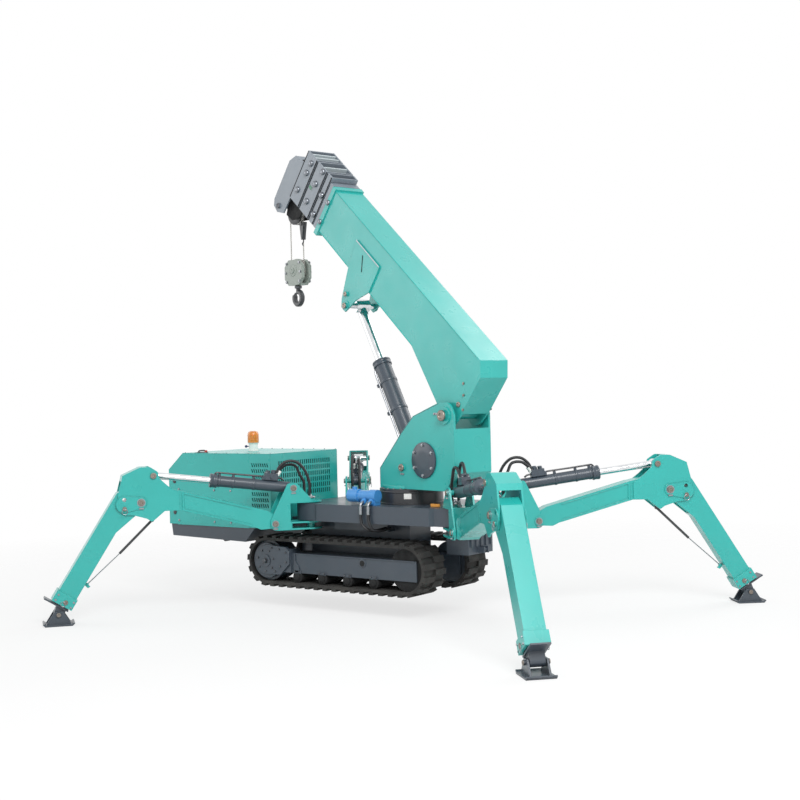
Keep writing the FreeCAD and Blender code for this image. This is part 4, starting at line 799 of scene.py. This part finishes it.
class CRANE_OT_running_gear(bpy.types.Operator):
    """Bolts, hub caps, roller ends and holes on the tracks' side frames; the idler's face, the rollers, their
    caps and the hole are near-black painted shade.
    """

    bl_idname = "crane.running_gear"
    bl_label = "Running gear"

    FRAME_FACE = 0.353
    GUARD_FACE = 0.3835
    HUB_FACE = 0.3894
    HUB = (-1.041, 0.336)
    HUB_PLATE = [(-1.14, 0.3), (-1.1, 0.25), (-1.04, 0.236), (-0.9, 0.24), (-0.86, 0.28), (-0.815, 0.32),
                 (-0.815, 0.41), (-0.845, 0.442), (-1.04, 0.452), (-1.1, 0.43), (-1.14, 0.385)]
    HUB_BOLTS = ((-0.95, 0.262), (-0.9, 0.3), (-0.845, 0.335), (-0.845, 0.405), (-0.91, 0.425),
                 (-0.98, 0.432))
    STOP = [(-0.79, 0.262), (-0.74, 0.262), (-0.74, 0.3), (-0.775, 0.345), (-0.775, 0.4), (-0.79, 0.4)]
    ROLLERS = (-0.759, -0.527, -0.295, -0.063)
    ROLLER_UP = 0.2303
    IDLER = [(0.1462, 0), (0.1462, 0.004), (0.06, 0.0055)]
    ROLLER = [(0.0428, 0), (0.0428, 0.186), (0.038, 0.189)]
    ROLLER_CAP = [(0.026, 0), (0.026, 0.006), (0.019, 0.011), (0.008, 0.012)]
    RIM = [(0.03, 0), (0.03, 0.004), (0.026, 0.006)]

    def execute(self, context):
        for name, sign in (("right", -1), ("left", 1)):
            way = (0, sign, 0)
            hole_at = (-0.158, sign * self.FRAME_FACE, 0.362)
            bolts = bolt_circle(WORLD, self.HUB, sign * self.GUARD_FACE, 0.078, 7, 0.014, 12)
            bolts += bolts_at(WORLD, sign * self.GUARD_FACE, self.HUB_BOLTS, 0.014)
            bolts += bolts_at(WORLD, sign * self.HUB_FACE, (self.HUB,), 0.034)
            guard = [side_slab(WORLD, self.HUB_PLATE, sign, 0.355, self.GUARD_FACE, 0.0025),
                     side_slab(WORLD, self.STOP, sign, 0.352, 0.36, 0.0015)]
            # Painted shade: the idler's face, the rollers and their caps are near black, so that the space
            # under the side frame reads dark.
            dark = [turned(self.IDLER, (0.219, sign * 0.3375, 0.336), way, 48)]
            for x in self.ROLLERS:
                dark.append(turned(self.ROLLER_CAP, (x, sign * 0.3565, self.ROLLER_UP), way, 22))
                dark.append(turned(self.ROLLER, (x, sign * 0.1685, self.ROLLER_UP), way, 28))
                guard.append(block(WORLD, (x, sign * 0.356, 0.266), (0.07, 0.008, 0.022), 0.003))
                bolts += bolts_at(WORLD, sign * 0.36, ((x - 0.022, 0.268), (x + 0.022, 0.268)), 0.013)
            guard.append(turned(self.RIM, hole_at, way, 28))
            guard.append(side_slab(WORLD, rectangle(-0.78, 0.29, 0.392, 0.4), sign, 0.352, 0.3575))
            mesh_piece("rollers_" + name, dark, "dark_hollow", "chassis")
            mesh_piece("side_frame_trim_" + name, guard, "slate_enamel", "chassis")
            mesh_piece("side_frame_bolts_" + name, bolts, "dark_steel", "chassis")
            # Painted shade: a near-black disc inside the hole.
            hole = [disc(0.021, 0.0075, hole_at, way, 24)]
            mesh_piece("side_frame_hole_" + name, hole, "dark_hollow", "chassis")
        return {"FINISHED"}


class CRANE_OT_slewing(bpy.types.Operator):
    """Bolts and blank label on the slewing drum, and the motor's bolts, fittings and hoses."""

    bl_idname = "crane.slewing"
    bl_label = "Slewing drive"

    MOTOR = Axes((-0.298, -0.3, 0.83), (0, 0, 1), (-1, 0, 0), (0, 1, 0))
    LOWER = [(0.231, 0), (0.231, 0.01), (0.228, 0.012)]
    UPPER = [(0.2275, 0), (0.23, 0.003), (0.23, 0.011), (0.2275, 0.014)]
    LABEL = ((0.2265, 0.806), (0.2285, 0.806), (0.2285, 0.844), (0.2265, 0.844))
    PORT = [(0.02, 0), (0.02, 0.03), (0.016, 0.034)]

    def execute(self, context):
        centre = SLEW.origin
        flange = [turned(self.LOWER, centre + (0, 0, 0.7655), UP, 64),
                  turned(self.UPPER, centre + (0, 0, 0.845), UP, 64)]
        mesh_piece("drum_flange", flange, "black_enamel", "chassis")
        angles = np.radians(np.linspace(-67.7, -54.3, 9))
        rings = [np.column_stack([arc(centre[:2], radius, angles), np.full(len(angles), height)])
                 for radius, height in self.LABEL]
        mesh_piece("drum_label", [closed(np.stack(rings, axis=1))], "white_plastic", "chassis")
        bolts = bolt_circle(self.MOTOR, (0, 0), 0.0, 0.034, 6, 0.012, 30)
        bolts += bolt_head(self.MOTOR.origin, (-1, 0, 0), 0.022)
        mesh_piece("motor_bolts", bolts, "blue_enamel", "chassis")
        ports = [turned(self.PORT, (x, -0.325, 0.8), (0, -0.8, -0.6), 14) for x in (-0.15, -0.085)]
        ports.append(disc(0.018, 0.022, (-0.255, -0.3, 0.87), UP, 12))
        mesh_piece("motor_ports", ports, "blue_enamel", "chassis")
        silver, hoses = [], []
        for number, x in enumerate((-0.136, -0.07)):
            elbow = [(x - 0.014, -0.335, 0.793), (x, -0.365, 0.79), (x, -0.386, 0.775), (x, -0.388, 0.75)]
            silver.append(tube(smooth_path(elbow, 8), 0.0095, 12))
            silver += fitting((x, -0.388, 0.762), (0, 0, -1), 0.0125, 0.055)
            route = [
                (x, -0.388, 0.715),
                (x, -0.389, 0.675),
                (x + 0.012, -0.387, 0.632),
                (x + 0.045 - 0.02 * number, -0.368, 0.6),
                (x + 0.075 - 0.03 * number, -0.31, 0.592),
                (x + 0.09 - 0.03 * number, -0.22, 0.6),
            ]
            hoses.append(tube(smooth_path(route, 8), sizes().hose, 12))
        mesh_piece("motor_fittings", silver, "zinc_steel", "chassis")
        mesh_piece("motor_hoses", hoses, "hose_rubber", "chassis")
        cap = block(WORLD, (0.4, -0.25, 0.776), (0.07, 0.022, 0.02), 0.004)
        mesh_piece("level_cap", [cap], "orange_cap", "chassis")
        ring = arc(centre[:2], 0.212, np.radians(np.arange(0, 360, 15)))
        bolts = [disc(0.007, 0.006, (x, y, 0.8735), UP, 6) for x, y in ring]
        mesh_piece("drum_bolts", bolts, "zinc_steel", "chassis")
        return {"FINISHED"}


class CRANE_OT_superstructure(bpy.types.Operator):
    """Winch covers, pins, bolts and plates on the column, and the luffing cylinder's pipes."""

    bl_idname = "crane.superstructure"
    bl_label = "Column and luffing cylinder"

    WINCH = (-0.347, 1.08)
    LUFF_AT = (-0.565, 1.385)
    BASE_AT = (-0.107, 1.024)
    COVER = [(0.1235, 0), (0.1235, 0.0125), (0.119, 0.0155), (0.05, 0.0158), (0.02, 0.0158)]
    EDGE = ((0.146, 0.9), (0.146, 1.012), (-0.098, 1.259), (-0.235, 1.379), (-0.508, 1.466))
    PIPE = ((0.1, -0.05), (0.16, -0.056), (0.45, -0.056), (0.74, -0.056), (0.8, -0.05))
    CLAMP = [(0.0625, 0), (0.064, 0.004), (0.064, 0.02), (0.0625, 0.024)]
    GLAND = [(0.0665, 0), (0.069, 0.004), (0.069, 0.012), (0.0665, 0.016), (0.0665, 0.028),
             (0.069, 0.032), (0.068, 0.041), (0.04, 0.042)]

    def execute(self, context):
        covers, bolts, plates = [], [], []
        for sign in (1, -1):
            face = sign * COLUMN_HALF
            covers.append(turned(self.COVER, *on_face(SLEW, self.WINCH[0], face, self.WINCH[1]), 64))
            covers += beads(SLEW, self.EDGE, sign * (COLUMN_HALF - 0.001), 0.0021, 6)
            bolts += bolt_circle(SLEW, self.WINCH, sign * (COLUMN_HALF + 0.0155), 0.104, 6, 0.02, 30)
            plates += keeper(SLEW, self.LUFF_AT[0] + 0.085, face, self.LUFF_AT[1] + 0.012, 0.018)
            plates += keeper(SLEW, self.BASE_AT[0], face, self.BASE_AT[1] - 0.045, 0.014)
        pins = pin_pairs(SLEW, (0.038, COLUMN_HALF + 0.024, *self.LUFF_AT),
                         (0.0265, COLUMN_HALF + 0.01, *self.BASE_AT))
        mesh_piece("winch_covers", covers, "slate_enamel", "column")
        mesh_piece("winch_cover_bolts", bolts, "zinc_steel", "column")
        mesh_piece("column_pin_heads", pins, "copper_pin", "column")
        mesh_piece("column_keepers", plates, "zinc_steel", "column")
        self.luffing_cylinder()
        return {"FINISHED"}

    def luffing_cylinder(self):
        """Two pipes, their clamps, the valve block and the gland ring of the luffing cylinder."""
        along = LIFT.basis[0]
        pipes, clamps = [], []
        for side in (0.046, -0.046):
            route = [(x, side, z) for x, z in self.PIPE] + [(0.83, 0.8 * side, -0.045)]
            pipes.append(tube(LIFT(smooth_path(route, 8)), 0.008, 10))
        for step in (0.22, 0.45, 0.68):
            clamps.append(turned(self.CLAMP, LIFT((step, 0, 0)), along, 36))
            clamps.append(block(LIFT, (step + 0.012, 0, -0.062), (0.024, 0.125, 0.014), 0.002))
        clamps.append(turned(self.GLAND, LIFT((0.8195, 0, 0)), along, 44))
        clamps.append(block(LIFT, (0.1, 0, -0.072), (0.1, 0.07, 0.05), 0.005))
        mesh_piece("luffing_pipes", pipes, "zinc_steel", "lift_barrel")
        mesh_piece("luffing_clamps", clamps, "slate_enamel", "lift_barrel")


class CRANE_OT_boom_trim(bpy.types.Operator):
    """Wear-pad studs, weld beads, pins, blank plate, painted highlights and painted shade on the boom and its
    heads.
    """

    bl_idname = "crane.boom_trim"
    bl_label = "Boom trim"

    DOME = np.array([(0.025, 0), (0.025, 0.004), (0.0225, 0.011), (0.016, 0.017), (0.008, 0.0195),
                     (0.001, 0.02)])
    STUDS = {
        "boom_section_3": ((2.146, 0.355), (2.146, 0.184)),
        "boom_section_4": ((2.24, 0.502), (2.264, 0.379), (2.282, 0.212)),
        "boom_section_5": ((2.409, 0.47), (2.416, 0.382), (2.439, 0.217)),
    }
    WELDS = (((0.6, 0.1275), (1.2, 0.1275)), ((1.57, 0.1275), (2.0, 0.1275)), ((0.02, 0.477), (2.0, 0.477)))
    HEADS = (("boom_section_3", 2.112, 2.18, 0), ("boom_section_4", 2.192, 2.34, 1),
             ("boom_section_5", 2.352, 2.5, 2))
    SHROUD = [(2.36, 0.12), (2.372, 0.0), (2.44, -0.06), (2.53, -0.07), (2.56, 0.0), (2.56, 0.12)]

    def studs(self, name, body, half, places, scale=1.0):
        """Domed studs at pairs of along and up on both side faces."""
        solids = [turned(scale * self.DOME, *on_face(BOOM, along, sign * half, up), 24)
                  for sign in (1, -1) for along, up in places]
        mesh_piece(name, solids, "stud_steel", body)

    def execute(self, context):
        for body, places in self.STUDS.items():
            self.studs(body + "_studs", body, 0.1208, places)
        self.studs("boom_collar_studs", "boom", 0.1318, ((2.0285, 0.365), (2.0285, 0.195)), 0.84)
        self.heads()
        welds, slots, edges = [], [], []
        for sign in (1, -1):
            # Painted shade: near-black beads along the bracket's slot.
            slots += beads(BOOM, ((1.434, 0.302), (1.37, 0.2)), sign * 0.1345, 0.0042, 6, 8)
            # Painted highlight: pale beads along the bracket plate's upper edge, where it catches the light.
            edges += beads(BOOM, ((1.565, 0.3445), (1.23, 0.3445)), sign * 0.1345, 0.0045, 12, 8)
            for run in self.WELDS:
                welds += beads(BOOM, run, sign * 0.1225, sizes().bead, 40)
        mesh_piece("bracket_slots", slots, "dark_hollow", "boom")
        mesh_piece("boom_beads", welds, "teal_enamel", "boom")
        mesh_piece("bracket_edges", edges, "pale_edge", "boom")
        solids = pin_pairs(BOOM, (0.0225, 0.1485, 1.375, -0.105), (0.0185, 0.147, 1.42, -0.032),
                           (0.019, 0.123, -0.027, 0.118))
        for place in ((-0.085, 0.12), (-0.03, 0.2), (0.02, 0.26)):
            for side in (0.123, -0.123):
                solids += bolts_at(BOOM, side, (place,), 0.016)
        mesh_piece("boom_eye_pin_heads", solids, "copper_pin", "boom")
        outline = rectangle(2.285, 2.325, 0.31, 0.335)
        plate = [side_slab(BOOM, outline, sign, 0.1205, 0.1225) for sign in (1, -1)]
        mesh_piece("head_plate", plate, "green_plate", "boom_section_4")
        pins = pin_pairs(BOOM, (0.0215, 0.108, 2.608, -0.04), (0.016, 0.044, 2.496, -0.022))
        mesh_piece("tip_pin_heads", pins, "dark_steel", "boom_section_5")
        # Painted shade: near-black discs in the crown's holes.
        crown = [BOOM((2.585, side, 0.3915)) for side in (0.05, -0.05)]
        holes = [disc(0.018, 0.0015, place, BOOM.basis[2], 24) for place in crown]
        mesh_piece("crown_holes", holes, "dark_hollow", "boom_section_5")
        return {"FINISHED"}

    def heads(self):
        """Painted shade in near black: strips at the heads' edges, decks under the ribs, and plates beside the
        head sheave; the ribs over the decks carry a painted highlight.
        """
        for body, start, end, count in self.HEADS:
            # Painted shade: near-black strips where the gaps at the heads' edges fall in shade, and a
            # near-black deck between the ribs.
            head_painted_shade = []
            for low, high in ((start, start + 0.011), (end - 0.009, end)):
                outline = rectangle(low, high, 0.116, 0.527)
                head_painted_shade += [side_slab(BOOM, outline, sign, 0.1205, 0.1219) for sign in (1, -1)]
            deck = rectangle(start + 0.0095, end - 0.0095, 0.4835, 0.4865)
            head_painted_shade.append(slab(BOOM, deck, -0.1085, 0.1085))
            mesh_piece(body + "_seals", head_painted_shade, "dark_hollow", body)
            for along in np.linspace(start, end, count + 2)[1:-1]:
                # Painted highlight: the ribs are a pale grey where the light catches them.
                rib = block(BOOM, (along, 0, 0.506), (0.012, 0.2165, 0.044), 0.0)
                mesh_piece(f"{body}_rib_{round(1000 * along)}", [rib], "pale_edge", body)
        # Painted shade: near-black plates under the head, where the tip plates and the sheave fall in shade.
        sheave_shade = [side_slab(BOOM, self.SHROUD, sign, 0.0465, 0.058, 0.001) for sign in (1, -1)]
        mesh_piece("sheave_shroud", sheave_shade, "dark_hollow", "boom_section_5")


class CRANE_OT_hook_trim(bpy.types.Operator):
    """Rope socket under the head, bolts and hub on the hook block, swivel nut and latch on the hook."""

    bl_idname = "crane.hook_trim"
    bl_label = "Hook trim"

    SOCKET = [(-0.116, -0.085), (-0.056, -0.085), (-0.066, -0.17), (-0.077, -0.222), (-0.093, -0.222),
              (-0.102, -0.17)]
    TAIL = [(-0.085, 0.0, -0.22), (-0.092, 0.004, -0.238), (-0.08, 0.006, -0.252), (-0.086, 0.004, -0.268)]
    WHEEL = [(0.02, -0.0225), (0.09, -0.0225), (0.0968, -0.018), (0.0968, -0.011), (0.088, -0.005),
             (0.088, 0.005), (0.0968, 0.011), (0.0968, 0.018), (0.09, 0.0225), (0.02, 0.0225)]
    BOLTS = ((-0.088, -0.4), (0.088, -0.4), (-0.088, -0.545), (0.088, -0.545), (-0.1, -0.473), (0.1, -0.473))
    HUB = [(0.045, 0), (0.045, 0.003), (0.04, 0.0045)]
    NUT = [(0.027, 0), (0.029, 0.004), (0.029, 0.016), (0.024, 0.021)]
    LATCH = [(0.004, 0, -0.618), (0.018, 0, -0.621), (0.032, 0, -0.63), (0.036, 0, -0.645)]

    def execute(self, context):
        socket = [slab(HANG, self.SOCKET, -0.017, 0.017, 0.003),
                  disc(0.012, 0.048, HANG((-0.085, -0.024, -0.1)), ACROSS, 16),
                  tube(HANG(smooth_path(self.TAIL, 6)), 0.0045, 8)]
        mesh_piece("rope_socket", socket, "black_enamel", "hoist_falls")
        wheel = [turned(self.WHEEL, HANG.origin, ACROSS, 48)]
        mesh_piece("head_sheave_rim", wheel, "black_enamel", "hoist_falls")
        bolts = bolts_at(HANG, 0.046, self.BOLTS, 0.02) + bolts_at(HANG, -0.046, self.BOLTS, 0.02)
        hubs = pin_pairs(HANG, (0.022, 0.052, 0.0, -0.458))
        hubs += [turned(self.HUB, *on_face(HANG, 0, side, -0.458), 32) for side in (0.046, -0.046)]
        mesh_piece("block_bolts", bolts, "zinc_steel", "hook_block")
        mesh_piece("block_hubs", hubs, "block_enamel", "hook_block")
        mesh_piece("hook_collar", [turned(self.NUT, HANG((0, 0, -0.597)), UP, 20)], "dark_steel", "hook")
        path = HANG(smooth_path(self.LATCH, 6))
        latch = [tube(path, np.linspace(0.006, 0.0045, len(path)), 10)]
        mesh_piece("hook_latch", latch, "zinc_steel", "hook")
        return {"FINISHED"}


class CRANE_OT_hood_trim(bpy.types.Operator):
    """Bolts, latches, hinges, painted shade behind the openings and blank plate on the hood, and the beacon's
    knob, rings and lens.
    """

    bl_idname = "crane.hood_trim"
    bl_label = "Hood trim"

    HALF = 0.385
    SIDE_BOLTS = ((-1.93, 0.6), (-1.55, 0.6), (-1.38, 0.6), (-1.02, 0.6), (-1.55, 0.84), (-1.38, 0.84),
                  (-1.93, 0.84))
    LATCH = [(0.017, 0), (0.017, 0.003), (0.009, 0.005)]
    HANDLE = ((-1.76, 1.12), (-1.758, 1.131), (-1.74, 1.136), (-1.7, 1.137), (-1.685, 1.13))
    TIP = [(0.009, 0), (0.009, 0.016), (0.004, 0.022)]
    BEACON = np.array((-1.495, 0.0, 1.1203))
    KNOB = [(0.003, -0.011), (0.008, -0.008), (0.011, 0.0), (0.008, 0.008), (0.003, 0.011)]
    KNOB_WAY = np.array((-0.8, -0.6, 0.0))
    UPPER_RING = [(0.0365, 0), (0.042, 0.002), (0.042, 0.008), (0.0365, 0.01)]
    LOWER_RING = [(0.0365, 0), (0.043, 0.0), (0.043, 0.005), (0.0365, 0.006)]
    LENS = [(0.043, 0.0637), (0.044, 0.07), (0.0435, 0.122), (0.041, 0.138), (0.034, 0.149), (0.02, 0.1545),
            (0.002, 0.1556)]
    LENS_RIB = [(0.0432, 0), (0.0448, 0.002), (0.0432, 0.004)]

    def execute(self, context):
        bolts, hinges, black = [], [], []
        for sign in (-1, 1):
            bolts += bolts_at(WORLD, sign * self.HALF, self.SIDE_BOLTS, 0.014)
            for x in np.arange(-1.86, -0.98, 0.11):
                bolts += bolt_head((x, sign * 0.375, 1.12), UP, 0.009)
            for z in (0.66, 0.9):
                black.append(turned(self.LATCH, (-1.975, sign * self.HALF, z), (0, sign, 0), 20))
            hinges.append(block(WORLD, (-1.57, sign * 0.3865, 0.573), (0.75, 0.004, 0.012), 0.001))
        mesh_piece("hood_bolts", bolts, "zinc_steel", "chassis")
        mesh_piece("hood_hinges", hinges, "teal_enamel", "chassis")
        black.append(tube(smooth_path(on_side(WORLD, self.HANDLE, -0.33), 6), 0.006, 10))
        black.append(block(WORLD, (-1.72, -0.33, 1.1225), (0.1, 0.026, 0.006), 0.001))
        black.append(disc(0.022, 0.04, (-1.46, -0.37, 0.478), (0, 1, 0), 18))
        mesh_piece("hood_latches", black, "black_enamel", "chassis")
        tip = [turned(self.TIP, (-1.69, -0.33, 1.128), (1, 0, 0.3), 12)]
        mesh_piece("latch_tip", tip, "red_tip", "chassis")
        self.beacon()
        # Painted shade: near-black sheets behind the grille and the hood's side openings, where the inside
        # falls in shade.
        grille_shade = [block(WORLD, (-1.012, 0, 0.86), (0.004, 0.73, 0.46), 0.0005)]
        for side in (0.366, -0.366):
            grille_shade.append(block(WORLD, (-1.085, side, 0.87), (0.19, 0.003, 0.42), 0.0005))
        mesh_piece("hood_backing", grille_shade, "dark_hollow", "chassis")
        plate = block(WORLD, (-1.5, 0.3855, 0.9), (0.22, 0.002, 0.08), 0.0005)
        mesh_piece("hood_blank_plate", [plate], "white_plastic", "chassis")
        return {"FINISHED"}

    def beacon(self):
        """The knob and rings of the beacon's foot, and the ribbed lens in the beacon's place."""
        neck = self.BEACON + (0, 0, 0.036)
        knob = [turned(self.KNOB, neck + self.KNOB_WAY * 0.056, self.KNOB_WAY, 16),
                disc(0.004, 0.02, neck + self.KNOB_WAY * 0.034, self.KNOB_WAY, 10)]
        mesh_piece("beacon_knob", knob, "navy_knob", "chassis")
        rings = [turned(self.UPPER_RING, self.BEACON + (0, 0, 0.057), UP, 40),
                 turned(self.LOWER_RING, self.BEACON, UP, 40)]
        mesh_piece("beacon_rings", rings, "white_plastic", "chassis")
        ribs = [turned(self.LENS_RIB, self.BEACON + (0, 0, z), UP, 40) for z in (0.08, 0.098, 0.116)]
        mesh_piece("lens_ribs", ribs, "amber_lens", "chassis")
        lens = mesh_piece("beacon_lens", [turned(self.LENS, self.BEACON, UP, 40)], "amber_lens", "chassis")
        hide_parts("beacon")


class CRANE_OT_stage(bpy.types.Operator):
    """Floor, lights and the camera at the photograph's place."""

    bl_idname = "crane.stage"
    bl_label = "Stage"

    EYE = (5.634, -7.653, 1.535)
    AZIMUTH = 36.67
    PITCH = 0.251
    ROLL = -1.303
    LENS = 60.19
    LIFT_SHARE = 0.72
    FLOOR_REACH = 9.0
    FLOOR_FADE = (3.2, 7.0)
    WORLD_LIGHT = 0.5
    LAMPS = (("key", (5.5, -5.0, 6.5), 4.0, 560.0), ("fill", (-7.5, -4.0, 4.0), 5.0, 120.0),
             ("rim", (2.0, 6.5, 6.0), 5.0, 200.0))

    def execute(self, context):
        self.floor()
        self.world(context.scene)
        for lamp in self.LAMPS:
            self.lamp(*lamp)
        self.camera(context.scene)
        context.scene.view_settings.view_transform = "Standard"
        return {"FINISHED"}

    def floor(self):
        """A wide flat sheet just under the crane: almost white to the camera, pale to light, clear far off."""
        made = Finish("pale_floor", (240, 240, 240), 0.9)
        tree = made.tree
        path = tree.nodes.new("ShaderNodeLightPath")
        glow = tree.nodes.new("ShaderNodeEmission")
        glow.inputs["Color"].default_value = (1, 1, 1, 1)
        clear = tree.nodes.new("ShaderNodeBsdfTransparent")
        lifted = tree.nodes.new("ShaderNodeMixShader")
        faded = tree.nodes.new("ShaderNodeMixShader")
        made.paint(made.mottle(0.7, 0.01))
        seen = made.node("ShaderNodeMath")
        seen.operation = "MULTIPLY"
        seen.inputs[1].default_value = self.LIFT_SHARE
        away = tree.nodes.new("ShaderNodeVectorMath")
        away.operation = "LENGTH"
        made.link(made.place, away.inputs[0])
        made.link(path.outputs["Is Camera Ray"], seen.inputs[0])
        made.link(seen.outputs[0], lifted.inputs[0])
        made.link(made.shader.outputs[0], lifted.inputs[1])
        made.link(glow.outputs[0], lifted.inputs[2])
        made.link(made.remap(away.outputs["Value"], *self.FLOOR_FADE, 0.0, 1.0), faded.inputs[0])
        made.link(lifted.outputs[0], faded.inputs[1])
        made.link(clear.outputs[0], faded.inputs[2])
        made.link(faded.outputs[0], tree.nodes["Material Output"].inputs["Surface"])
        reach = self.FLOOR_REACH
        corners = [(x, y, -0.0005) for x, y in rectangle(-reach, reach, -reach, reach)]
        mesh = bpy.data.meshes.new("floor")
        mesh.from_pydata(corners, [], [(0, 1, 2, 3)])
        sheet = bpy.data.objects.new("floor", mesh)
        mesh.materials.append(MATERIALS["pale_floor"])
        bpy.context.scene.collection.objects.link(sheet)

    def world(self, scene):
        """Plain white to the camera and in reflections, softer as light."""
        world = bpy.data.worlds.new("studio")
        world.use_nodes = True
        tree = world.node_tree
        back = tree.nodes["Background"]
        back.inputs["Color"].default_value = (1, 1, 1, 1)
        path = tree.nodes.new("ShaderNodeLightPath")
        total = path.outputs["Is Camera Ray"]
        for ray in ("Is Glossy Ray", "Is Transmission Ray"):
            either = tree.nodes.new("ShaderNodeMath")
            either.operation = "MAXIMUM"
            tree.links.new(total, either.inputs[0])
            tree.links.new(path.outputs[ray], either.inputs[1])
            total = either.outputs[0]
        level = tree.nodes.new("ShaderNodeMapRange")
        level.inputs[3].default_value = self.WORLD_LIGHT
        tree.links.new(total, level.inputs[0])
        tree.links.new(level.outputs[0], back.inputs["Strength"])
        scene.world = world

    def lamp(self, name, place, width, power):
        """A square soft lamp that faces the crane's middle."""
        data = bpy.data.lights.new(name, "AREA")
        data.size = width
        data.energy = power
        made = bpy.data.objects.new(name, data)
        made.location = place
        aim = Vector((0.0, 0.0, 1.0)) - Vector(place)
        made.rotation_euler = aim.to_track_quat("-Z", "Y").to_euler()
        bpy.context.scene.collection.objects.link(made)

    def camera(self, scene):
        """The photograph's view: azimuth, downward pitch and roll about the view."""
        azimuth, pitch, roll = (math.radians(a) for a in (self.AZIMUTH, self.PITCH, self.ROLL))
        back = np.array([math.sin(azimuth), -math.cos(azimuth), 0.0])
        forward = -back * math.cos(pitch) - UP * math.sin(pitch)
        right = np.array([math.cos(azimuth), math.sin(azimuth), 0.0])
        top = np.cross(right, forward)
        side = right * math.cos(roll) + top * math.sin(roll)
        rise = -right * math.sin(roll) + top * math.cos(roll)
        data = bpy.data.cameras.new("photo_camera")
        data.lens = self.LENS
        data.sensor_width = 36.0
        made = bpy.data.objects.new("photo_camera", data)
        turn = Matrix((side, rise, -forward)).transposed()
        made.matrix_world = Matrix.Translation(self.EYE) @ turn.to_4x4()
        scene.collection.objects.link(made)
        scene.camera = made


STEPS = (
    CRANE_OT_finishes,
    CRANE_OT_enamel,
    CRANE_OT_pins,
    CRANE_OT_cylinders,
    CRANE_OT_plate_edges,
    CRANE_OT_struts,
    CRANE_OT_running_gear,
    CRANE_OT_slewing,
    CRANE_OT_superstructure,
    CRANE_OT_boom_trim,
    CRANE_OT_hook_trim,
    CRANE_OT_hood_trim,
    CRANE_OT_stage,
)


class CRANE_PT_dressing(bpy.types.Panel):
    """The crane's sizes, colours and operators in the sidebar."""

    bl_idname = "CRANE_PT_dressing"
    bl_label = "Tracked crane"
    bl_space_type = "VIEW_3D"
    bl_region_type = "UI"
    bl_category = "Crane"

    def draw(self, context):
        for group in (context.scene.crane_sizes, context.scene.crane_colours):
            box = self.layout.box()
            for name in type(group).__annotations__:
                box.prop(group, name)
        for step in STEPS:
            self.layout.operator(step.bl_idname)


CLASSES = (CraneSizes, CraneColours, *STEPS, CRANE_PT_dressing)


def register():
    """Add the classes and the scene's settings."""
    for cls in CLASSES:
        bpy.utils.register_class(cls)
    bpy.types.Scene.crane_sizes = PointerProperty(type=CraneSizes)
    bpy.types.Scene.crane_colours = PointerProperty(type=CraneColours)


def unregister():
    """Remove them again."""
    del bpy.types.Scene.crane_colours
    del bpy.types.Scene.crane_sizes
    for cls in reversed(CLASSES):
        bpy.utils.unregister_class(cls)


def main():
    """Register, and make every piece in order."""
    register()
    bpy.ops.crane.finishes()
    bpy.ops.crane.enamel()
    bpy.ops.crane.pins()
    bpy.ops.crane.cylinders()
    bpy.ops.crane.plate_edges()
    bpy.ops.crane.struts()
    bpy.ops.crane.running_gear()
    bpy.ops.crane.slewing()
    bpy.ops.crane.superstructure()
    bpy.ops.crane.boom_trim()
    bpy.ops.crane.hook_trim()
    bpy.ops.crane.hood_trim()
    bpy.ops.crane.stage()


if __name__ == "__main__":
    main()
